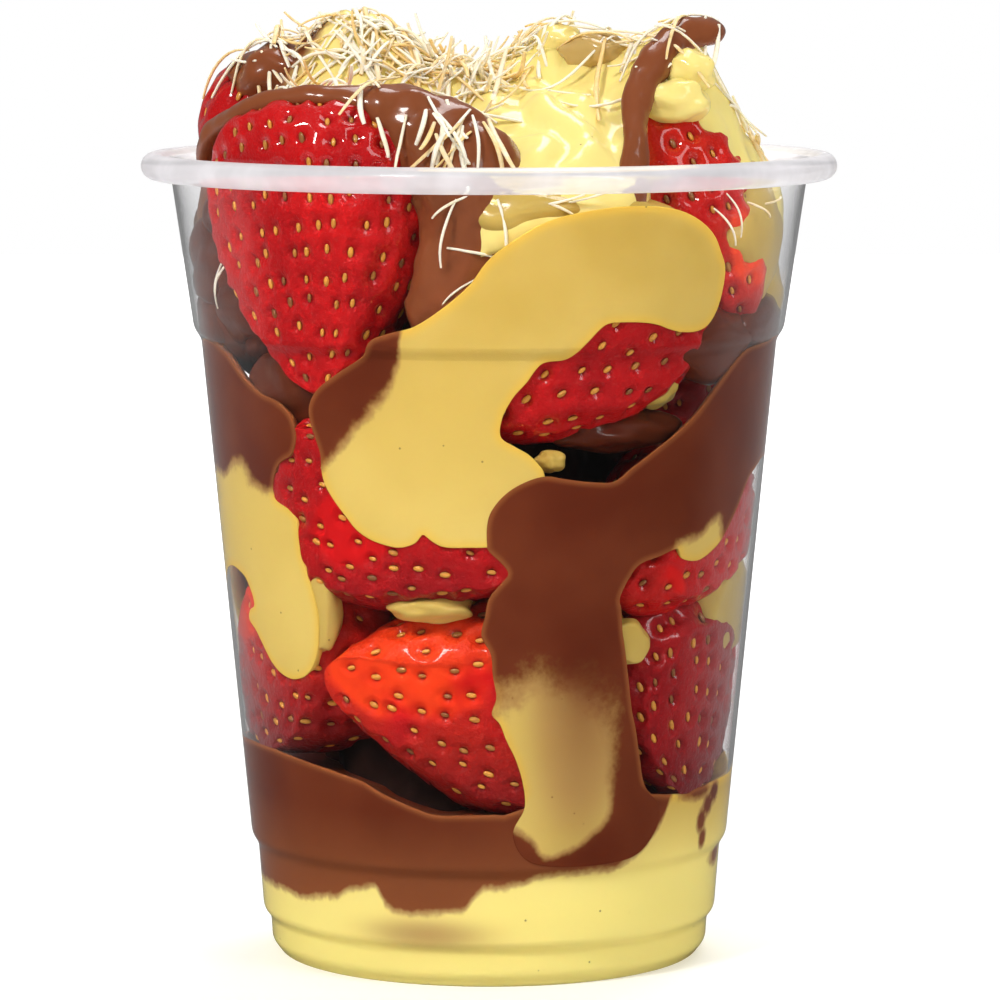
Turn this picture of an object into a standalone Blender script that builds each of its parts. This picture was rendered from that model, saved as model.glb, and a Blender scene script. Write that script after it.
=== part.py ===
"""Clear plastic cup of strawberries in chocolate and pistachio sauce, heaped with cream and pastry shreds.

Metres, +Z up, origin at the middle of the foot. The named sizes below are in millimetres. An angle round
the cup is in degrees from the front (-Y), growing towards the right (+X).
"""

import math
import random

import bmesh
import bpy
from mathutils import Vector
from mathutils.geometry import delaunay_2d_cdt

MM = 0.001

# The cup, a thin thermoformed wall with a rolled rim
WALL = 0.55
GAP = 0.3
FOOT_RADIUS = 28.6
FOOT_WIDTH = 1.4
FLOOR_HEIGHT = 2.1
FOOT_BAND = (1.8, 30.0), (5.0, 30.2)  # height and outer radius at its lower and upper end
LOWER_BAND = (6.2, 31.2), (15.2, 31.9)
MAIN_WALL = (16.6, 32.8), (84.9, 39.4)
COLLAR = (86.4, 40.4), (107.0, 43.4)
RIM_BEAD = 1.75
RIM_CENTRE = 45.75, 108.45  # radius and height of the middle of the bead
CONTENT_LEVELS = 6.2, 15.2, 40.0, 84.9, 107.0
CUP_SIDES = 36

# Sauce and berries
SMEAR_THICKNESS = 1.9
MIDDLE_RADIUS = 38.0  # of the wall, for measuring along it
FRONT_BERRY = 14, 9  # sides and rings of a berry that shows, and of one at the back
REAR_BERRY = 11, 6
HOLLOW = (11, 6), 1.25  # sides and rings of the berry that cuts a hollow, and how much larger it is
CORE_HOLLOW = (9, 6), 1.5
BASE_TOP = 13.5
BASE_RISE = 9.0, 62.0, 20.0  # height of the rise in the base's border, its angle and its spread
POOL_TOP = 27.0
CORE_RADIUS = 23.0
CORE_RINGS = 8
SHOULDER = 14.0  # how far the column widens below the heap, on the left
HEAP_BOTTOM = 97.6
HEAP_EDGE = 38.5
HEAP_FOOT = 0.94  # share of the edge's radius at the underside
HEAP_DENTS = (-16, 11.0, 9.0), (47, 9.0, 11.0), (82, -2.4, 24.0)  # angle, depth and spread
FLAT_ANGLE = math.radians(0.6)  # faces that meet flatter than this become one
SHARP_ANGLE = math.radians(45)  # edges steeper than this stay sharp in the round shading

# Berries: where the tip and the crown lie, the width, and how pointed the tip is
FRONT_BERRIES = {
    "berry_top_left": ((-21.3, -29.5, 79.5), (-21, -19, 119.5), 31.6, 0.37),
    "berry_top_right": ((33.5, -16.5, 87.5), (19, -12, 121.5), 18.4, 0.14),
    "berry_centre_right": ((0, -33.5, 75), (25, -19, 96), 25.0, 0.38),
    "berry_middle_left": ((4, -34.5, 56.5), (-30, -17, 68.5), 26.0, 0.36),
    "berry_lower_centre": ((-21.5, -28, 42), (16, -20, 36), 30.0, 0.50),
    "berry_upper_right": ((17, -27.5, 52.5), (31, -4, 67), 21.0, 0.28),
    "berry_lower_right": ((28, -20, 25), (15.5, -8, 53), 25.5, 0.16),
    "berry_lower_left": ((-8, -16, 38), (-35, -11, 46.5), 27.0, 0.30),
}
REAR_BERRIES = {
    "berry_rear_top_left": ((-27, 4, 88), (-27.5, 0, 124.5), 24.0, 0.38),
    "berry_rear_upper_left": ((-12, 20, 62), (-26, 22, 94), 27.0, 0.36),
    "berry_rear_upper_right": ((16, 12, 100), (24, 22, 68), 28.0, 0.40),
    "berry_rear_top": ((2, 22, 80), (-2, 26, 112), 27.0, 0.36),
    "berry_rear_middle": ((-6, 33, 62), (16, 22, 46), 26.0, 0.34),
    "berry_rear_left": ((-33, 6, 70), (-20, 14, 46), 24.0, 0.34),
    "berry_rear_right": ((34, 4, 46), (22, 18, 26), 23.0, 0.34),
    "berry_rear_low": ((-26, 20, 32), (4, 20, 30), 24.0, 0.40),
}

# Outlines of the sauce on the wall: angle and height of the points that a smooth closed curve runs through
FRONT_SMEAR = (
    (-38, 77.8), (-30, 83), (-22, 87.5), (-12, 89.8), (-3, 95), (5, 101), (17, 104.3), (33, 104.6),
    (44, 101), (48.6, 95), (46, 89), (39, 88), (29, 89.6), (20, 88.4), (10.5, 85), (5, 80.2),
    (2.3, 75.8), (8, 72.4), (13, 69), (4, 60), (-9, 60.1), (-13.5, 61.7), (-18.5, 59.9), (-25, 60.8),
    (-31, 64), (-35.5, 68.5), (-36, 72.5),
)
FRONT_LOBE = (
    (-38, 77.8), (-30, 83), (-22, 87.5), (-16.5, 88.9), (-17.5, 84.4), (-22.5, 78.8), (-30.2, 73.7),
    (-35.4, 69.3), (-36, 72.5),
)
RIGHT_SMEAR = (
    (-0.6, 61), (2, 66.3), (11, 69.5), (20, 68.6), (27, 68.8), (36, 72.6), (46, 76.8), (56, 82.7),
    (66, 85.2), (82, 85.6), (100, 80), (112, 69), (108, 61), (96, 66), (82, 69), (70, 67.2), (60, 60.5),
    (52, 58), (40, 57.8), (32, 56.6), (28.6, 52), (30.6, 45.8), (33.2, 37.6), (36.2, 31), (41, 24),
    (38, 17), (24, 15.5), (10, 17), (8.3, 25), (6, 31.5), (1, 37.5), (-0.6, 43), (-1.6, 48.5), (0.5, 53.5),
    (4, 56.6),
)
LEFT_SMEAR = (
    (-118, 74), (-104, 82), (-88, 84), (-74, 85.4), (-62, 83), (-52, 79.3), (-43.5, 76.7), (-42.6, 72.8),
    (-48.5, 69.5), (-50.4, 65.5), (-58.3, 66.6), (-66, 68.4), (-80, 65), (-96, 62), (-112, 66),
)
LEFT_CREAM = (
    (-108, 68), (-96, 70), (-80, 72), (-66, 72), (-50.4, 66), (-44, 62.6), (-43.7, 58), (-40.4, 53),
    (-39.5, 48), (-44, 41.8), (-52, 41.2), (-59, 44.6), (-65, 47.8), (-62, 50.2), (-68, 54), (-84, 50),
    (-100, 42), (-110, 44), (-104, 54),
)
REAR_SMEAR = (
    (128, 90), (146, 96), (168, 92), (190, 84), (214, 80), (228, 70), (218, 61), (200, 66), (182, 62),
    (172, 48), (160, 43), (152, 54), (140, 68), (128, 76),
)
REAR_CREAM = (
    (128, 70), (140, 66), (152, 52), (158, 42), (150, 33), (136, 38), (122, 34), (112, 42), (118, 54),
)
SMOOTH_STEPS = 2

# Sauce and cream that is laid over the berries: path points with the half width at each
DRAPE_PATH = (
    (-38.0, -13, 108.5, 1.5), (-37.0, -18, 113.6, 1.6), (-31, -26, 117.4, 1.5), (-23.5, -29.5, 118.9, 1.5),
    (-17, -30.4, 118.6, 2.2), (-11.0, -30.6, 116.6, 4.4), (-6, -32, 112.6, 6.6), (-2.8, -34, 107.6, 7.6),
    (-3.0, -34.6, 101, 6.2), (-5.6, -34, 93.5, 5.6), (-8.6, -32, 88, 5.0),
)
STRAP_PATH = (
    (31.5, -7, 127.2, 2.1), (26, -13, 126.3, 2.3), (21.4, -19, 122.2, 2.2), (19.4, -24.5, 117, 2.0),
    (19, -30, 110, 2.0), (18.7, -33.5, 103, 1.9), (18.5, -34.5, 98.5, 1.6),
)
LUMPS = (  # place, height and spread of the lumps on the heap
    (-15, -7, 10.0, 7.0), (-25, -6, 8.0, 6.0), (-20, -15, 5.5, 5.5), (7, -3, 9.5, 6.5), (16, -9, 7.0, 5.0),
    (26.5, -6.5, 11.0, 5.0), (27, -13, 7.0, 4.5), (23, -19, 8.0, 4.0), (-4, -15, 4.0, 5.0), (9, -22, 5.0, 6.0),
    (35, 5, 1.5, 5.0), (-8, 14, 3.5, 7.0), (18, 14, 3.0, 6.5),
)
OVER_GAP = 1.2  # room cut for them in the heap
SAUCE_SIDES = 28
STRANDS = 28
STRAND_WIDTH = 1.0
STRAND_LENGTHS = 9.0, 20.0


def material(name, colour, roughness, alpha=1.0):
    """A Principled material of one colour."""
    made = bpy.data.materials.new(name)
    made.use_nodes = True
    shader = made.node_tree.nodes["Principled BSDF"]
    shader.inputs["Base Color"].default_value = (*colour, 1.0)
    shader.inputs["Roughness"].default_value = roughness
    shader.inputs["Metallic"].default_value = 0.0
    shader.inputs["Alpha"].default_value = alpha
    made.diffuse_color = (*colour, alpha)
    return made


def add_object(name, points, faces, finish):
    """An object from points in millimetres, with its faces turned outwards."""
    shape = bmesh.new()
    corners = [shape.verts.new(Vector(p) * MM) for p in points]
    for face in faces:
        shape.faces.new([corners[i] for i in face])
    bmesh.ops.recalc_face_normals(shape, faces=shape.faces)
    bmesh.ops.triangulate(shape, faces=shape.faces)
    if shape.calc_volume(signed=True) < 0:
        bmesh.ops.reverse_faces(shape, faces=shape.faces)
    mesh = bpy.data.meshes.new(name)
    shape.to_mesh(mesh)
    shape.free()
    mesh.materials.append(finish)
    made = bpy.data.objects.new(name, mesh)
    bpy.context.scene.collection.objects.link(made)
    return made


def as_cutter(made):
    """Marks an object as a tool that only cuts others."""
    made.hide_render = True
    made.display_type = "WIRE"
    return made


def discard(*objects):
    for each in objects:
        bpy.data.objects.remove(each)


def place(angle, height, radius):
    """The point at an angle round the cup."""
    turn = math.radians(angle)
    return radius * math.sin(turn), -radius * math.cos(turn), height


def lerp(rows, value):
    """Value read from a rising list of (key, value) rows."""
    for (low, a), (high, b) in zip(rows, rows[1:]):
        if value <= high:
            share = max(0.0, (value - low) / (high - low))
            return a + (b - a) * share
    return rows[-1][1]


OUTER_ROWS = ((0.0, FOOT_RADIUS), *FOOT_BAND, *LOWER_BAND, *MAIN_WALL, *COLLAR)


def wall_radius(height):
    """Inner radius of the cup's wall."""
    return lerp(OUTER_ROWS, height) - WALL


def inner_limit(height):
    """Largest radius at which what fills the cup stays clear of its flat sides."""
    return wall_radius(height) * math.cos(math.pi / CUP_SIDES) - GAP


def content_limit(height):
    """Radius out to which food fills the cup, on straight lines that skip the wall's small steps."""
    return lerp([(level, inner_limit(level)) for level in CONTENT_LEVELS], height)


def smooth_closed(points, steps):
    """A closed Catmull-Rom curve through flat points."""
    count = len(points)
    curve = []
    for i in range(count):
        p0, p1, p2, p3 = (Vector(points[(i + k) % count]) for k in (-1, 0, 1, 2))
        for step in range(steps):
            t = step / steps
            curve.append(
                0.5 * (2 * p1 + (p2 - p0) * t + (2 * p0 - 5 * p1 + 4 * p2 - p3) * t**2
                       + (3 * p1 - p0 - 3 * p2 + p3) * t**3)
            )
    return curve


def smooth_open(points, steps):
    """An open Catmull-Rom curve through points of any length."""
    padded = [points[0], *points, points[-1]]
    curve = []
    for i in range(1, len(padded) - 2):
        p0, p1, p2, p3 = (padded[i + k] for k in (-1, 0, 1, 2))
        for step in range(steps):
            t = step / steps
            curve.append(tuple(
                0.5 * (2 * b + (c - a) * t + (2 * a - 5 * b + 4 * c - d) * t**2
                       + (3 * b - a - 3 * c + d) * t**3)
                for a, b, c, d in zip(p0, p1, p2, p3)
            ))
    return [*curve, points[-1]]


def turned(name, profile, sides, finish):
    """A solid turned from (radius, height) points; a radius of 0 is a point on the axis."""
    points = []
    rings = []
    for radius, height in profile:
        if radius == 0:
            rings.append([len(points)] * sides)
            points.append((0, 0, height))
            continue
        rings.append(list(range(len(points), len(points) + sides)))
        points.extend(place(360 * k / sides, height, radius) for k in range(sides))
    pairs = list(zip(rings, rings[1:]))
    if profile[0][0] or profile[-1][0]:
        pairs.append((rings[-1], rings[0]))
    faces = []
    for lower, upper in pairs:
        for k in range(sides):
            after = (k + 1) % sides
            corners = dict.fromkeys((lower[k], lower[after], upper[after], upper[k]))
            if len(corners) > 2:
                faces.append(tuple(corners))
    return add_object(name, points, faces, finish)


def combine(target, tool, operation="DIFFERENCE", whole=True, solvers=("EXACT", "MANIFOLD")):
    """Cuts or joins the target with a tool and keeps, of a whole body, the largest piece that is left."""
    before = target.data
    for solver in solvers:
        boolean = target.modifiers.new(operation, "BOOLEAN")
        if isinstance(tool, bpy.types.Collection):
            boolean.operand_type = "COLLECTION"
            boolean.collection = tool
        else:
            boolean.object = tool
        boolean.operation = operation
        boolean.solver = solver
        graph = bpy.context.evaluated_depsgraph_get()
        mesh = bpy.data.meshes.new_from_object(target.evaluated_get(graph))
        target.modifiers.clear()
        for flat in (FLAT_ANGLE, 0.0):
            target.data = mesh.copy()
            if clean(target, whole, flat):
                return
        target.data = before
    raise ValueError(f"{target.name} isn't closed after {operation} with {tool.name}")


def clean(target, whole, flat):
    """Joins the flat bits that a cut leaves, drops all scraps, and says whether the result is closed."""
    shape = bmesh.new()
    shape.from_mesh(target.data)
    if flat:
        bmesh.ops.dissolve_limit(shape, angle_limit=flat, verts=shape.verts, edges=shape.edges)
    bmesh.ops.triangulate(shape, faces=shape.faces)
    left = set(shape.faces) if whole else set()
    pieces = []
    while left:
        stack = [left.pop()]
        piece = list(stack)
        while stack:
            for edge in stack.pop().edges:
                for other in edge.link_faces:
                    if other in left:
                        left.remove(other)
                        stack.append(other)
                        piece.append(other)
        pieces.append(piece)
    pieces.sort(key=box_volume, reverse=True)
    scraps = [face for piece in pieces[1:] for face in piece]
    bmesh.ops.delete(shape, geom=scraps, context="FACES")
    bmesh.ops.delete(shape, geom=[v for v in shape.verts if not v.link_faces], context="VERTS")
    closed = bool(shape.faces) and all(len(edge.link_faces) == 2 for edge in shape.edges)
    shape.to_mesh(target.data)
    shape.free()
    return closed


def simplify(target, distance, angle):
    """Joins points and flat faces that lie close, as far as the solid stays closed."""
    for share in (1.0, 0.6, 0.3):
        shape = bmesh.new()
        shape.from_mesh(target.data)
        volume = shape.calc_volume()
        bmesh.ops.remove_doubles(shape, verts=shape.verts, dist=distance * share * MM)
        bmesh.ops.dissolve_degenerate(shape, dist=1e-6, edges=shape.edges)
        flat = math.radians(angle * share)
        bmesh.ops.dissolve_limit(shape, angle_limit=flat, verts=shape.verts, edges=shape.edges)
        bmesh.ops.triangulate(shape, faces=shape.faces)
        closed = all(len(edge.link_faces) == 2 for edge in shape.edges)
        closed = closed and abs(shape.calc_volume() / volume - 1) < 0.03
        if closed:
            shape.to_mesh(target.data)
        shape.free()
        if closed:
            return


def box_volume(faces):
    corners = [v.co for face in faces for v in face.verts]
    sides = [max(c[i] for c in corners) - min(c[i] for c in corners) for i in range(3)]
    return sides[0] * sides[1] * sides[2]


def touches(a, b):
    """Whether the boxes of two objects meet."""
    return all(
        min(v.co[i] for v in a.data.vertices) < max(v.co[i] for v in b.data.vertices)
        and min(v.co[i] for v in b.data.vertices) < max(v.co[i] for v in a.data.vertices)
        for i in range(3)
    )


def cut_by(target, tools, solvers=("EXACT", "MANIFOLD")):
    for tool in tools:
        if touches(target, tool):
            combine(target, tool, solvers=solvers)


# Cup


def make_cup(finish):
    """The wall, its steps, the raised floor and the rolled rim as one thin solid."""
    foot_inside = FOOT_RADIUS - FOOT_WIDTH
    centre, middle = RIM_CENTRE
    bead = [
        (centre + RIM_BEAD * math.cos(math.radians(a)), middle + RIM_BEAD * math.sin(math.radians(a)))
        for a in (-120, -65, -15, 35, 85, 140)
    ]
    outside = [(radius, height) for height, radius in OUTER_ROWS[1:]]
    inside = [(radius - WALL, height) for radius, height in reversed(outside)]
    floor_under = FLOOR_HEIGHT - WALL
    profile = [
        (0, floor_under), (foot_inside - 1.2, floor_under), (foot_inside, 0), (FOOT_RADIUS, 0),
        *outside, *bead, *inside,
        (FOOT_RADIUS - 0.4, 0.55), (foot_inside + 0.3, 0.55), (foot_inside - 0.9, FLOOR_HEIGHT),
        (0, FLOOR_HEIGHT),
    ]
    return turned("cup", profile, CUP_SIDES, finish)


# Strawberries


def berry(name, spec, finish, fineness, growth=0.0):
    """A strawberry, pressed flat where it meets the wall; growth makes it the tool for its own hollow."""
    tip, crown, width, taper = spec
    sides, rings = fineness
    tip, crown = Vector(tip), Vector(crown)
    axis = (crown - tip).normalized()
    length = (crown - tip).length + 2 * growth
    start = tip - axis * growth
    across = axis.orthogonal().normalized()
    other = axis.cross(across)
    rule = random.Random(str(spec))
    phases = [rule.uniform(0, math.tau) for _ in range(3)]
    bulge = max(math.sin(a) * (1 - taper * math.cos(a)) for a in (math.radians(d) for d in range(90, 130)))
    points = [start]
    for ring in range(1, rings):
        slope = math.pi * ring / rings
        share = math.sin(slope) * (1 - taper * math.cos(slope)) / bulge
        height = min(0.5 - 0.5 * math.cos(slope), 0.965)
        for k in range(sides):
            turn = math.tau * (k + 0.5 * (ring % 2)) / sides
            uneven = 1 + 0.035 * math.sin(2 * turn + phases[0]) + 0.025 * math.sin(3 * turn + phases[1])
            uneven += 0.02 * math.sin(turn + 4 * slope + phases[2])
            radius = share * (width / 2 * uneven + growth)
            point = start + axis * (height * length)
            point += across * (radius * math.cos(turn)) + other * (radius * math.sin(turn))
            points.append(point)
    points.append(start + axis * (0.95 * length))
    if not growth:
        points = [pressed(p) for p in points]
    first = [[1 + (r - 1) * sides + k for k in range(sides)] for r in range(1, rings)]
    faces = []
    for k in range(sides):
        after = (k + 1) % sides
        faces.append((0, first[0][k], first[0][after]))
        faces.append((len(points) - 1, first[-1][k], first[-1][after]))
        for ring, (lower, upper) in enumerate(zip(first, first[1:]), start=1):
            if ring % 2:
                faces.append((lower[k], lower[after], upper[after]))
                faces.append((lower[k], upper[after], upper[k]))
            else:
                faces.append((lower[k], lower[after], upper[k]))
                faces.append((lower[after], upper[after], upper[k]))
    return add_object(name, points, faces, finish)


def pressed(point):
    """A point of a berry, moved in where the wall holds it."""
    radius = math.hypot(point.x, point.y)
    limit = content_limit(point.z)
    if radius <= limit:
        return point
    return Vector((point.x * limit / radius, point.y * limit / radius, point.z))


# Sauce on the wall


def shell(name, inner, outer, finish):
    """A turned shell that follows the wall's steps, from one depth behind it to another."""
    heights = [12.0, 15.2, 16.6, 84.9, 86.4, 106.5]
    outside = [(wall_radius(h) * math.cos(math.pi / CUP_SIDES) - outer, h) for h in heights]
    inside = [(wall_radius(h) * math.cos(math.pi / CUP_SIDES) - inner, h) for h in reversed(heights)]
    return turned(name, [*outside, *inside], CUP_SIDES, finish)


def prism(name, outline, growth, finish):
    """A block with the smear's outline, running outwards from near the axis."""
    curve = smooth_closed(outline, SMOOTH_STEPS)
    reach = math.radians(1) * MIDDLE_RADIUS  # millimetres along the wall for each degree
    flat = [Vector((p.x * reach, p.y)) for p in curve]
    if growth:
        area = sum(a.x * b.y - b.x * a.y for a, b in zip(flat, [*flat[1:], flat[0]]))
        side = 1 if area < 0 else -1
        grown = []
        for before, here, after in zip([flat[-1], *flat[:-1]], flat, [*flat[1:], flat[0]]):
            along = (after - before).normalized()
            grown.append(here + Vector((-along.y, along.x)) * growth * side)
        flat = grown
    corners, _, triangles, *_ = delaunay_2d_cdt(
        flat, [], [list(range(len(flat)))], 1, 1e-4
    )
    if len(corners) != len(flat):
        raise ValueError(f"the outline of {name} crosses itself")
    depths = (18.0, 31.0, 43.0, 110.0)  # rings that keep the side walls' edges short near the wall
    points = [place(p.x / reach, p.y, depth) for depth in depths for p in corners]
    count = len(corners)
    last = count * (len(depths) - 1)
    faces = [tuple(t) for t in triangles]
    faces += [tuple(i + last for i in reversed(t)) for t in triangles]
    for row in range(0, last, count):
        faces += [
            (row + i, row + (i + 1) % count, row + (i + 1) % count + count, row + i + count)
            for i in range(count)
        ]
    return add_object(name, points, faces, finish)


def smear(name, outline, finish, growth=0.0):
    """Sauce smeared on the wall inside a smooth outline."""
    made = shell(name, GAP + SMEAR_THICKNESS + growth, GAP - growth, finish)
    block = prism(name + "_outline", outline, growth, finish)
    combine(made, block, "INTERSECT")
    discard(block)
    return made


# Sauce between the berries


def lathe_mesh(name, bottom, rings, top, finish):
    """A closed solid through rings of points, from a point at the bottom to one at the top."""
    sides = len(rings[0])
    points = [bottom, *(point for ring in rings for point in ring), top]
    loops = [[1 + r * sides + k for k in range(sides)] for r in range(len(rings))]
    faces = []
    for k in range(sides):
        after = (k + 1) % sides
        faces.append((0, loops[0][k], loops[0][after]))
        faces.append((len(points) - 1, loops[-1][k], loops[-1][after]))
        for lower, upper in zip(loops, loops[1:]):
            faces.append((lower[k], lower[after], upper[after], upper[k]))
    return add_object(name, points, faces, finish)


def base_top(angle, share):
    """Height of the border between the cream at the bottom and the chocolate over it."""
    turn = math.radians(angle)
    rise, middle, spread = BASE_RISE
    wave = 1.9 * math.sin(turn * 2 + 0.3) + 1.2 * math.sin(turn * 5 + 2.4) + 0.7 * math.sin(turn * 9)
    wave += rise * math.exp(-((angle - middle) / spread) ** 2)
    return BASE_TOP + share * wave


def make_base(finish):
    """Pistachio cream on the cup's floor and down in the groove round it."""
    groove = FOOT_RADIUS - FOOT_WIDTH + 0.5
    rows = [
        (groove - 1.25, FLOOR_HEIGHT + GAP), (groove, 0.95), (groove + 0.3, 0.95),
        *((content_edge(height), height) for height in (2.4, 5.0, 6.4)),
    ]
    sides = SAUCE_SIDES
    rings = [[place(360 * k / sides, height, radius) for k in range(sides)] for radius, height in rows]
    border = [base_top(360 * k / sides, 1) for k in range(sides)]
    rings.append([place(360 * k / sides, top, content_limit(top)) for k, top in enumerate(border)])
    return lathe_mesh("cream_base", (0, 0, FLOOR_HEIGHT + GAP), rings, (0, 0, base_top(0, 0)), finish)


def content_edge(height):
    """Radius at which the cream in the foot stays clear of the wall."""
    return inner_limit(height) if height < 6 else content_limit(height)


def core_radius(angle, height):
    """Radius of the sauce between the berries: to the wall in the pool, then a lumpy column."""
    turn = math.radians(angle)
    column = CORE_RADIUS + 3 * math.sin(2 * turn + height / 9) + 2 * math.sin(3 * turn - height / 7)
    column += SHOULDER * math.exp(-((height - 88) / 14) ** 2) * max(0.0, math.cos(turn + 1.4)) ** 2
    column = min(column, content_limit(height) - SMEAR_THICKNESS - 2 * GAP)
    blend = min(1.0, max(0.0, (height - POOL_TOP) / 6))
    return content_limit(height) * (1 - blend) + column * blend


def make_filling(finish):
    """Chocolate from the pool at the bottom up between the berries."""
    rings = []
    for step in range(CORE_RINGS + 1):
        ring = []
        for k in range(SAUCE_SIDES):
            angle = 360 * k / SAUCE_SIDES
            low = base_top(angle, 1) + GAP + 0.1
            share = core_radius(angle, HEAP_BOTTOM) / (HEAP_FOOT * heap_edge(angle))
            high = heap_bottom(angle, min(1.0, share)) - 2.5 * GAP
            height = low + (high - low) * step / CORE_RINGS
            ring.append(place(angle, height, core_radius(angle, height)))
        rings.append(ring)
    bottom = (0, 0, base_top(0, 0) + GAP + 0.1)
    return lathe_mesh("chocolate_filling", bottom, rings, (0, 0, HEAP_BOTTOM - 2.5 * GAP), finish)


# Cream and sauce on top


def sweep(name, path, finish, growth=0.0, sides=8):
    """A rounded strip along a path, kept inside the cup's mouth."""
    curve = smooth_open(path, SMOOTH_STEPS)
    centres = [Vector(p[:3]) for p in curve]
    points = []
    for i, (centre, row) in enumerate(zip(centres, curve)):
        along = centres[min(i + 1, len(curve) - 1)] - centres[max(i - 1, 0)]
        outward = Vector((centre.x, centre.y, 0)).normalized() + Vector((0, 0, 1))
        across = along.cross(outward).normalized()
        up = across.cross(along).normalized()
        for k in range(sides):
            turn = math.tau * k / sides
            radius = row[3] + growth
            point = centre + across * (radius * math.cos(turn)) + up * (radius * 0.7 * math.sin(turn))
            points.append(point if growth else pressed(point))
    ends = [centres[0] - (centres[1] - centres[0]).normalized() * (curve[0][3] * 0.7 + growth)]
    ends.append(centres[-1] + (centres[-1] - centres[-2]).normalized() * (curve[-1][3] * 0.7 + growth))
    points += [p if growth else pressed(p) for p in ends]
    first, last = len(points) - 2, len(points) - 1
    faces = []
    for k in range(sides):
        after = (k + 1) % sides
        faces.append((first, k, after))
        faces.append((last, first - sides + k, first - sides + after))
        for i in range(len(curve) - 1):
            a, b = i * sides, (i + 1) * sides
            faces.append((a + k, a + after, b + after, b + k))
    return add_object(name, points, faces, finish)


def heap_bottom(angle, share):
    """Underside of the heap, level in the middle and wavy at its edge."""
    turn = math.radians(angle)
    return HEAP_BOTTOM + share * (1.8 * math.sin(2 * turn + 0.6) + 1.3 * math.sin(5 * turn))


def heap_edge(angle):
    """Radius of the heap, wavy and pushed in beside the berries that stand in front of it."""
    radius = HEAP_EDGE + 1.2 * math.sin(math.radians(3 * angle + 40))
    for middle, depth, spread in HEAP_DENTS:
        turn = (angle - middle + 180) % 360 - 180
        radius -= depth * math.exp(-((turn / spread) ** 2))
    return radius


def heap_height(x, y):
    """Top of the heap of cream at a place."""
    dome = 116.0 - 0.0045 * (x * x + y * y)
    return dome + sum(
        height * math.exp(-((x - u) ** 2 + (y - v) ** 2) / (2 * spread**2)) for u, v, height, spread in LUMPS
    )


def make_heap(finish):
    """The heap of cream on the berries, with its lumps."""
    sides = SAUCE_SIDES
    angles = [360 * k / sides for k in range(sides)]
    rings = [[place(angle, heap_bottom(angle, 1), HEAP_FOOT * heap_edge(angle)) for angle in angles]]
    for share, height in ((0.99, 102.5), (1.0, 105.5)):
        rings.append([place(angle, height, share * heap_edge(angle)) for angle in angles])
    for share in (0.97, 0.87, 0.75, 0.62, 0.48, 0.32, 0.16):
        ring = [place(angle, 0, share * heap_edge(angle)) for angle in angles]
        rings.append([(x, y, heap_height(x, y) - 2.2 * (share > 0.9)) for x, y, _ in ring])
    return lathe_mesh("cream_heap", (0, 0, HEAP_BOTTOM), rings, (0, 0, heap_height(0, 0)), finish)


def strand(name, start, heading, length, rise, finish):
    """One bent shred of pastry with four sides."""
    along = Vector((math.cos(heading), math.sin(heading), rise)).normalized()
    across = along.cross(Vector((0, 0, 1))).normalized()
    up = across.cross(along)
    half = STRAND_WIDTH / 2
    points = []
    steps = 2
    for i in range(steps + 1):
        share = i / steps
        bend = 0.09 * length * math.sin(math.pi * share)
        centre = Vector(start) + along * (length * share) + up * bend * 0.5 + across * bend
        for u, v in ((-1, -1), (1, -1), (1, 1), (-1, 1)):
            points.append(centre + across * (u * half) + up * (v * half))
    faces = [(3, 2, 1, 0), tuple(range(steps * 4, steps * 4 + 4))]
    for i in range(steps):
        for k in range(4):
            a, b = i * 4, i * 4 + 4
            faces.append((a + k, a + (k + 1) % 4, b + (k + 1) % 4, b + k))
    return add_object(name, points, faces, finish)


def scatter_strands(heap, avoid, finish):
    """Shreds lying on the heap, spread evenly by a seeded rule and clear of the berries."""
    rule = random.Random(7)
    group = bpy.data.collections.new("strands")
    bpy.context.scene.collection.children.link(group)
    golden = math.pi * (3 - math.sqrt(5))
    made = []
    for i in range(STRANDS * 3):
        if len(made) == STRANDS:
            break
        radius = 35 * math.sqrt((i + 0.5) / (STRANDS * 3)) if i % 2 else 34 * math.sqrt(rule.random())
        x, y = radius * math.cos(golden * i), radius * math.sin(golden * i)
        hit, ground, normal, _ = heap.ray_cast(Vector((x, y, 140)) * MM, Vector((0, 0, -1)))
        if not hit or ground.z < 0.109 or normal.z < 0.3:
            continue
        length = rule.uniform(*STRAND_LENGTHS)
        heading = rule.uniform(0, math.tau)
        start = ground / MM - Vector((0, 0, 0.15))
        piece = strand("strand", start, heading, length, rule.uniform(0.05, 0.5), finish)
        corners = [v.co for v in piece.data.vertices]
        spots = [
            corners[a].lerp(corners[b], share)
            for a, b in (edge.vertices for edge in piece.data.edges) for share in (0, 0.25, 0.5, 0.75)
        ]
        if max(c.z for c in corners) > 0.1295 or any(meets(spots, other) for other in avoid):
            discard(piece)
            continue
        bpy.context.scene.collection.objects.unlink(piece)
        group.objects.link(piece)
        made.append(piece)
    combine(heap, group, "UNION")
    for piece in made:
        discard(piece)
    bpy.data.collections.remove(group)


def meets(spots, other):
    """Whether a shred comes within a millimetre of another object or passes over the rim."""
    for spot in spots:
        if math.hypot(spot.x, spot.y) > 0.0415:
            return True
        found, nearest, normal, _ = other.closest_point_on_mesh(spot)
        if found and ((spot - nearest).length < 0.0011 or (spot - nearest).dot(normal) < 0):
            return True
    return False


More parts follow.
